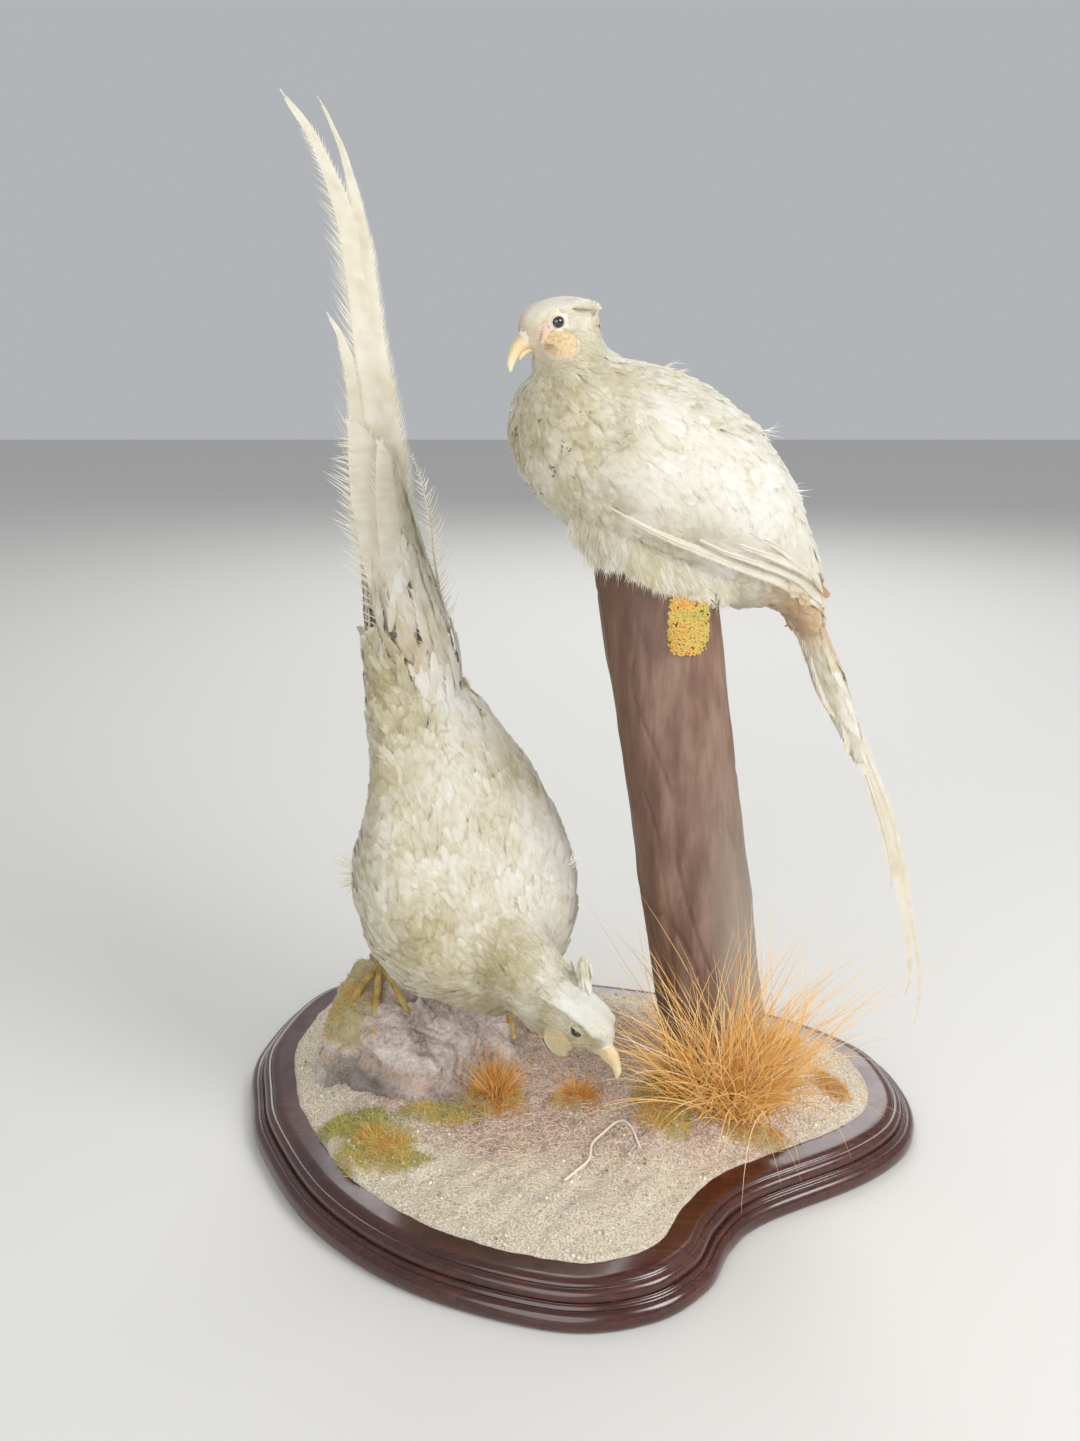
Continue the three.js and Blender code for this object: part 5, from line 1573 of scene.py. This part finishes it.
PERCHED_TAIL = {
    "nearest": [(149, 58, 392, 9.7, 7.9), (163, 59, 364, 7.4, 6.1), (168, 59, 352, 7.4, 6.1),
        (174, 60, 337, 9.1, 7.4), (181, 60, 322, 10.3, 8.4), (189, 61, 307, 8.3, 6.8),
        (204, 62, 276, 6.4, 5.3), (217, 62, 245, 6.3, 5.1), (230, 63, 213, 6.3, 5.2),
        (239, 64, 180, 5.8, 4.7), (248, 65, 147, 5, 4.1), (254, 66, 113, 4.4, 3.6),
        (256, 67, 96, 3.8, 3.1), (256, 67, 83, 2.8, 2.3), (254, 67, 75, 0.4, 0.4)],
    "farthest": [(154, 63, 391, 7.8, 7.8), (167, 64, 363, 6.4, 6.4), (174, 65, 350, 6.4, 6.4),
        (181, 65, 335, 7.6, 7.6), (188, 65, 320, 8, 8), (202, 66, 290, 6.6, 6.6),
        (216, 67, 258, 5.9, 5.9), (230, 68, 227, 5.6, 5.6), (241, 69, 194, 5.3, 5.3),
        (250, 70, 161, 4.6, 4.6), (258, 72, 127, 3.6, 3.6), (265, 73, 93, 3.1, 3.1),
        (267, 73, 75, 3.1, 3.1), (267, 74, 57, 2.9, 2.9), (265, 74, 45, 0.4, 0.4)],
    "short": [(141, 53, 393, 8.7, 8.7), (158, 53, 366, 6.7, 6.7), (164, 54, 353, 6.4, 6.4),
        (170, 54, 338, 7.5, 7.5), (175, 54, 324, 7.9, 7.9), (179, 54, 312, 6.1, 6.1),
        (183, 54, 303, 1.1, 1.1)],
    "tuft": [(171, 54, 349, 4.6, 4.6), (179, 55, 331, 4.6, 4.6), (186, 55, 312, 5, 5),
        (191, 55, 293, 5, 5), (194, 55, 280, 4, 4), (195, 55, 272, 1.1, 1.1)],
    "thin": [(209, 57, 258, 3.3, 3.3), (219, 57, 231, 3.3, 3.3), (227, 58, 207, 3.3, 3.3),
        (232, 58, 187, 2.4, 2.4), (234, 58, 175, 1.3, 1.3), (234, 58, 169, 0.4, 0.4)],
}


def long_feathers(name, feathers, facing, looks, skin, buff, stands_for=()):
    """Long flight and tail feathers, each a bare shaft with its two vanes of barbs. One with a lift lies
    that far above the coat where it passes close over the body."""
    face = unit(np.array(facing, float))
    t = np.linspace(0, 1, 90)
    vanes, shafts = [], []
    for key, rows in feathers.items():
        rows = np.array(rows, float)
        look = {**looks["all"], **looks.get(key, {})}
        curve = spline(rows, np.linspace(0, 1, 400))
        far = run_of(curve[:, :3])
        path = np.stack([np.interp(t * far[-1], far, curve[:, k]) for k in range(3)], -1)
        lift = look.pop("lift", None)
        if lift is not None:
            near, out, _ = skin.nearest(path)
            share = smooth(18, 9, np.linalg.norm(path - near, axis=1))[:, None]
            share *= smooth(1.0, 0.8, t)[:, None]
            over = skin.lie.at(near)[3] + lift - (lift + 2) * smooth(0.15, 0.0, t)
            path = path * (1 - share) + (near + out * over[:, None]) * share
            path = np.stack([evened(path[:, k], 6) for k in range(3)], -1)
        reach = [lambda s, k=k: np.interp(s * far[-1], far, np.maximum(curve[:, k], 0.3)) for k in (3, 4)]
        if np.cross(rows[-1, :3] - rows[0, :3], face)[0] > 0:
            reach.reverse()
        vanes.append(plumes(
            path[None], np.repeat(face[None], len(path), 0)[None], np.array([rows[:, 3:].max()]),
            far[-1] / look.pop("pitch"), tip=1.0, left=reach[0], right=reach[1], rows=60, bends=2,
            leaf_end=0.985, **look))
        shafts.append(tube(path + face * 0.35, np.maximum(1.05 * (1 - 0.88 * t), 0.12), 8))
    root_uv = skin.face_uv[skin.nearest(np.array([rows[0][:3] for rows in feathers.values()]))[2]]
    points, faces, values, uvs, start = [], [], [], [], 0
    for (block, block_faces, shares), uv in zip(vanes, root_uv):
        flat = block.reshape(-1, 3)
        points.append(flat)
        faces.append(block_faces + start)
        start += len(flat)
        values.append(np.column_stack([
            skin.marks(flat)["stain"] * 0.3 + 0.1, np.full(len(flat), buff),
            rng.normal(0, 0.12, len(flat)), 0.55 + 0.45 * shares.ravel()]))
        spread = flat - flat.mean(0)
        uvs.append(uv + PATCH * 0.5 * spread[:, [0, 2]] / np.abs(spread).max())
    values = dict(zip(("stain", "buff", "tone", "along"), np.vstack(values).T))
    piece(f"{name}_vanes", np.vstack(points), [np.vstack(faces)], PLUMAGE,
          {**values, "speck": 0 * values["tone"]}, uv=np.vstack(uvs))
    points, groups = joined(shafts)
    zero = np.zeros(len(points))
    piece(f"{name}_shafts", points, groups, PLUMAGE,
          {"stain": zero, "speck": zero, "buff": zero + 0.12, "tone": zero, "along": zero + 1},
          stands_for=stands_for)


long_feathers("cock_tail", COCK_TAIL, (0.3, -0.94, 0.16), {
    "all": dict(pitch=1.05, leaf=0.55, slant=1.7, ragged=0.06, hair=1.5, cup=0.10, tilt=0.12),
    "longest": dict(ragged=0.2, tilt=0.3, hair=1.3),
    "frayed": dict(pitch=1.7, leaf=0.62, slant=0.75, ragged=0.24, hair=1.1, tilt=0.7),
    "loose": dict(pitch=2.6, leaf=0.08, slant=1.1, ragged=0.3, hair=0.5, tilt=1.2),
}, cock, buff=0.04, stands_for=["cock_tail"])
long_feathers("perched_tail", PERCHED_TAIL, (0.42, -0.86, 0.25), {
    "all": dict(pitch=1.2, leaf=0.6, slant=2.0, ragged=0.10, hair=1.5, cup=0.12, tilt=0.2),
    "tuft": dict(pitch=1.6, leaf=0.4, slant=2.0, ragged=0.4, hair=0.9, tilt=0.6),
}, perched, buff=0.12)

# The primaries of the perched bird, seen folded along the wing's lower edge: the lowest first.
PRIMARIES = {
    "first": [(6, -38, 471, 0.4, 0.4), (22, -40, 463, 1.6, 2.2), (38, -39, 456, 2.2, 3),
        (73, -23, 438, 3, 4.5), (116, -1, 418, 4, 6), (147, 21, 404, 4.5, 6.5), (160, 34, 392, 3.5, 4.5),
        (166.5, 43, 383, 0.4, 0.4)],
    "second": [(70, -26, 446, 0.4, 0.4), (100, -12, 433, 2.5, 4), (126, 3, 422, 4.5, 6.5),
        (150, 22, 408, 4.5, 6.5), (161, 32, 396, 3, 4), (167, 39, 388, 0.4, 0.4)],
    "third": [(88, -20, 447, 0.4, 0.4), (112, -8, 436, 3, 4), (134, 4, 426, 5, 7), (154, 19, 412, 4.5, 6),
        (165, 32, 397, 0.4, 0.4)],
    "fourth": [(104, -18, 449, 0.4, 0.4), (122, -8, 440, 3, 4), (140, 3, 428, 5, 6.5),
        (154, 16, 416, 4, 5), (163, 28, 403, 0.4, 0.4)],
}
ACROSS = unit(np.array([-0.32, 0.947, 0.01]))  # from the perched bird's left side to its right


def mirrored(place):
    """The same place on the perched bird's other side."""
    place = np.asarray(place, float)
    return place - 2 * ((place - [69, 30, 472]) @ ACROSS) * ACROSS


WING_LOOK = {  # lift is a feather's height over the coat: the lowest feather lies on top
    "all": dict(pitch=1.3, leaf=0.7, slant=2.2, ragged=0.12, hair=1.5, cup=0.07, tilt=0.08, lift=2.6),
    "second": dict(lift=1.6), "third": dict(lift=0.6), "fourth": dict(lift=-0.4)}
long_feathers("perched_wing_left", PRIMARIES, (0.1, -0.93, 0.34), WING_LOOK, perched, buff=0.05)
long_feathers("perched_wing_right", {
    key: [(*mirrored(row[:3]), *row[3:]) for row in rows] for key, rows in PRIMARIES.items()},
    (-0.5, 0.8, 0.34), WING_LOOK, perched, buff=0.05)


def build_apron():
    """Soft belly plumes that lie back under the wing and hang over the top of the post."""
    x = rng.uniform(0, 116, 700)
    end = np.interp(x, [0, 10, 36, 43, 52, 68, 77, 89, 101, 107, 116],  # the fringe's lower edge
                    [432, 426, 424, 416, 412, 409, 395, 395, 401, 412, 416])
    wing = np.interp(x, [10, 33, 73, 116], [466, 454, 434, 413])  # the wing's lower edge
    start_z = np.minimum(end + rng.uniform(8, 46, len(x)), wing - rng.uniform(2, 8, len(x)))
    places = []
    for px, pz in zip(x, start_z):
        hit = perched.tree.ray_cast(Vector((px - 10, -150, pz)), Vector((0, 1, 0)))[0]
        places.append(tuple(hit) if hit else (np.nan,) * 3)
    place = np.array(places)
    good = ~np.isnan(place[:, 0])
    place, x, end = place[good], x[good], end[good]
    top = place[:, 2]
    length = np.minimum(top - end, rng.uniform(16, 26, len(x)))
    low = top - length + rng.normal(0, 1.5, len(x))
    front = POST_TOP[1] - np.sqrt(np.maximum(44.0 ** 2 - (x - POST_TOP[0]) ** 2, 0)) - 1.5
    share = np.clip((top - low) / (top - end), 0, 1)
    y = np.where(x > 88, place[:, 1] + 3, np.minimum(front, place[:, 1] + 8))
    y = place[:, 1] * (1 - share) + y * share
    target = np.column_stack([place[:, 0] + 0.4 * length + rng.normal(0, 2.5, len(x)), y, low])
    t = np.linspace(0, 1, 6)[None, :, None]
    bulge = np.array([0, -1.0, 0.2]) * 3.5
    path = place[:, None] * (1 - t) + target[:, None] * t + bulge * (0.35 + np.sin(math.pi * t ** 0.8))
    looks = np.broadcast_to(unit(np.array([-0.1, -1, 0.25])), path.shape)
    made = plumes(path, looks, rng.uniform(7, 12, len(x)), barbs=16, leaf=0.45, rows=5, ragged=0.3,
                  tilt=0.2, slant=2.2, hair=1.3)
    coat_piece(perched, "belly_fringe", perched.nearest(place)[2], made, looks)


build_apron()


# Coverts run along a tail's root. Each row is the root's middle and its half width and half depth.
COCK_COVERTS = [
    (-108, 62, 292, 22, 16), (-114, 66, 318, 29, 22), (-120, 69, 346, 33, 22), (-126, 71, 378, 29, 14),
    (-131, 73, 405, 24, 8), (-135, 75, 432, 20, 5), (-138, 77, 462, 14, 4), (-140, 78, 490, 8, 3)]
PERCHED_COVERTS = [
    (122, 44, 424, 13, 10), (138, 52, 408, 19, 15), (150, 57, 389, 14, 12), (161, 59, 370, 10, 10),
    (169, 60, 352, 9.5, 9), (178, 61, 330, 11, 9), (188, 62, 308, 9, 9), (198, 63, 286, 6, 7),
    (207, 64, 264, 3, 4)]


def build_coverts(bird, rows, count, length, wide, spread_out):
    """Long soft coverts that close the root of a tail and run out along it; spread_out below 1 sets
    more of them far out."""
    fine = spline(rows, np.linspace(0, 1, 200))
    far = run_of(fine[:, :3])
    long = length * rng.uniform(0.75, 1.15, count)
    start = rng.random(count) ** spread_out * (far[-1] - long)
    share = np.linspace(0, 1, 7)
    spot = start[:, None] + long[:, None] * share
    at = np.stack([np.interp(spot, far, fine[:, k]) for k in range(5)], -1)
    at[..., 3:] *= rng.uniform(0.78, 1.0, (count, 1, 1))  # lower ones close the gaps between others
    ahead = unit(np.gradient(at[..., :3], axis=1))
    side = unit(np.array([1.0, 0, 0]) - ahead[..., :1] * ahead)
    deep = np.cross(ahead, side)
    turn = rng.uniform(0, 2 * math.pi, count)[:, None] + rng.normal(0, 0.25, (count, 1)) * share
    out = side * np.cos(turn)[..., None] + deep * np.sin(turn)[..., None]
    path = (at[..., :3] + side * (np.cos(turn) * at[..., 3])[..., None]
            + deep * (np.sin(turn) * at[..., 4])[..., None]
            + out * (rng.uniform(0.4, 2.2, (count, 1)) * np.linspace(0.3, 1, 7))[..., None])
    made = plumes(path, out, wide * rng.uniform(0.7, 1.25, count), barbs=12, leaf=0.75, rows=6,
                  ragged=0.25, tilt=0.04, slant=2.0, hair=1.4, cup=0.03)
    coat_piece(bird, "coverts", bird.nearest(path[:, 0])[2], made, out)


build_coverts(cock, COCK_COVERTS, count=480, length=34, wide=9.5, spread_out=1.0)
build_coverts(perched, PERCHED_COVERTS, count=260, length=34, wide=7.0, spread_out=0.9)


def ribbons(path, face, half):
    """Single barbs lying along paths, tapered to a point."""
    count, steps, _ = path.shape
    side = unit(np.cross(unit(np.gradient(path, axis=1)), face))
    t = np.linspace(0, 1, steps)
    reach = (half[:, None] * (1 - 0.9 * t ** 2))[..., None]
    points = np.stack([path - side * reach, path + side * reach], 2).reshape(count, -1, 3)
    k = 2 * np.arange(steps - 1)
    quads = np.stack([k, k + 1, k + 3, k + 2], -1)
    faces = copied(halved(quads), count, 2 * steps)
    return points, faces, np.repeat(np.broadcast_to(t, (count, steps)), 2, axis=1)


WISP_SPACING = 3.9  # between the roots of the barbs that lie loose on the coat


def build_wisps(bird):
    """Long loose barbs combed over the top of the coat."""
    place, face = bird.roots(WISP_SPACING, lambda place: (bird.lie.at(place)[1] > 13)
                             & (np.linalg.norm(bird.head.local(place), axis=1) > 46))
    heading, length, _, depth, _ = bird.lie.at(place)
    side = np.cross(bird.face_normals[face], heading)
    drift = 0.6 * lumps(place, 24, 3) + 0.3 * lumps(place, 11, 4) + rng.normal(0, 0.12, len(place))
    path, looks = walked(bird, place, face, unit(heading + side * drift[:, None]),
                         length * rng.uniform(0.7, 1.1, len(place)),
                         depth * rng.uniform(0.9, 1.02, len(place)), 4)
    path[:, 1] = 0.5 * (path[:, 0] + path[:, 2])
    made = ribbons(path, looks, rng.uniform(0.15, 0.4, len(place)))
    coat_piece(bird, "wisps", face, made, looks, even=0.85)


# Loose tufts that stand out from the coat: place, direction, length, barbs.
TUFTS = {
    "cock": [((-158, 20, 196), (-0.94, -0.15, 0.3), 25, 46),
             ((-158, 18, 191), (-0.85, -0.2, -0.45), 20, 36), ((-5, 20, 206), (0.75, 0.0, 0.5), 10, 20)],
    "perched": [((52, 6, 551), (0.85, 0.1, 0.32), 9, 7), ((62, 8, 547), (0.9, 0.1, 0.25), 8, 7),
                ((118, 12, 508), (0.95, 0.1, 0.0), 10, 9), ((140, 22, 470), (0.97, 0.1, -0.15), 10, 10)],
}


def build_tufts(bird):
    """Barbs that stand out in a loose spray."""
    paths, half = [], []
    t = np.linspace(0, 1, 6)[:, None]
    for place, way, length, barbs in TUFTS[bird.name]:
        way = unit(np.array(way, float))
        for _ in range(barbs):
            lean = unit(way + rng.normal(0, 0.22, 3))
            curl = rng.normal(0, 0.16, 3)
            start = np.array(place) - way * 5 + rng.normal(0, 1.6, 3)
            paths.append(start + (lean * t + curl * t ** 2) * (5 + length * rng.uniform(0.35, 0.95)))
            half.append(rng.uniform(0.15, 0.32))
    paths = np.array(paths)
    looks = np.broadcast_to(np.array([0.1, -1.0, 0.2]), paths.shape)
    coat_piece(bird, "loose_tufts", bird.nearest(paths[:, 0])[2], ribbons(paths, looks, np.array(half)),
               looks)


def build_ear_tufts(bird):
    """The horn-like tufts behind the brows, small stiff plumes laid together. One that rises far is a
    thick brush, combed up."""
    paths, looks = [], []
    t = np.linspace(0, 1, 5)[:, None]
    reach, *rises = bird.head.tufts
    for side, rise in zip((1, -1), rises):
        root = np.array([-9.0, 12.0 * side, 6.0 + 0.3 * min(rise, 10)])
        tip = np.array([-reach, 16.5 * side, 2.0 + rise])
        middle = 0.5 * (root + tip) + [1.0, 2.0 * side, 1.0 + 0.15 * rise]
        blunt = rise > 12
        if blunt:
            root, middle, tip = np.array([(-10.0, 9.0, 9.0), (-18.0, 11.0, 20.0), (-23.0, 13.0, 33.0)])
        for _ in range(110 if blunt else 16):
            start = rng.uniform(0, 0.62)
            end = min(1.0, start + rng.uniform(0.3, 0.5))
            share = start + (end - start) * t
            line = root * (1 - share) ** 2 + 2 * middle * share * (1 - share) + tip * share ** 2
            spread = rng.normal(0, 1, 3) * ([2.8, 2.0, 1.8] if blunt else [0.7, 0.7, 0.6])
            paths.append(bird.head.out(line + spread * (1 - 0.25 * t)))
            way = 0.3 * spread + [0.5, -0.7, 0.4] if blunt else 0.6 * spread + [0, 0.25 * side, 1.0]
            looks.append(np.repeat([unit(way) @ bird.head.axes], 5, 0))
    paths, looks = np.array(paths), np.array(looks)
    made = plumes(paths, looks, rng.uniform(2.2, 3.4, len(paths)), barbs=5, leaf=0.6, slant=2.4,
                  ragged=0.12, hair=1.5, tilt=0.04)
    coat_piece(bird, "ear_tufts", bird.nearest(paths[:, 0])[2], made, looks)


for build in (build_wisps, build_tufts, build_ear_tufts):
    for bird in (cock, perched):
        build(bird)


# ---------- feet ----------
LEGS = {  # the cock's: the middle line of the shank, and the tips of the four claws
    "right": {"shank": [(-146, 74, 144), (-148, 64, 124), (-150, 53, 106)],
              "toes": [(-172, 13, 86), (-150, -8, 74), (-125, 9, 88), (-160, 78, 101)]},
    "left": {"shank": [(-57, 72, 118), (-57, 70, 92), (-57, 66, 68)],
             "toes": [(-70, 38, 73), (-48, 30, 53), (-34, 44, 52), (-62, 90, 60)]},
}


def build_foot(which, leg):
    """A shank and four toes with ring scales, knuckle pads and curved claws."""
    shells, claws = [], []
    ankle = np.array(leg["shank"][2], float)
    t = np.linspace(0, 1, 60)
    shank = spline(leg["shank"], t)
    ring = 0.16 * np.sin(t * 2 * math.pi * 12)
    shells.append(tube(shank, 3.6 + 0.5 * np.cos(t * 2 * math.pi) + ring, 14))
    claws.append(np.zeros(len(shells[-1][0])))
    for tip in leg["toes"]:
        tip = np.array(tip, float)
        length = np.linalg.norm(tip - ankle)
        knuckle = ankle * 0.5 + tip * 0.5 + [0, 0, 5]
        path = spline([ankle + [0, 0, 2], knuckle, tip * 0.86 + ankle * 0.14 + [0, 0, 2.4], tip], t)
        pads = 0.35 * np.abs(np.sin(t * math.pi * 3.2))
        radius = 3.1 - 1.55 * t + pads + 0.12 * np.sin(t * length * 2 * math.pi / 2.2)
        claw = smooth(0.80, 0.86, t)
        radius = radius * (1 - claw) + claw * np.maximum(1.35 * (1 - (t - 0.8) / 0.2), 0.12)
        shells.append(tube(path, radius, 14))
        claws.append(np.append(np.repeat(claw, 14), [0, 1]))
    points, faces = joined(shells)
    piece(f"cock_leg_{which}", points, faces, LEG_SCALES, {"claw": np.concatenate(claws)},
          stands_for=[f"cock_foot_{which}"])


for which, leg in LEGS.items():
    build_foot(which, leg)
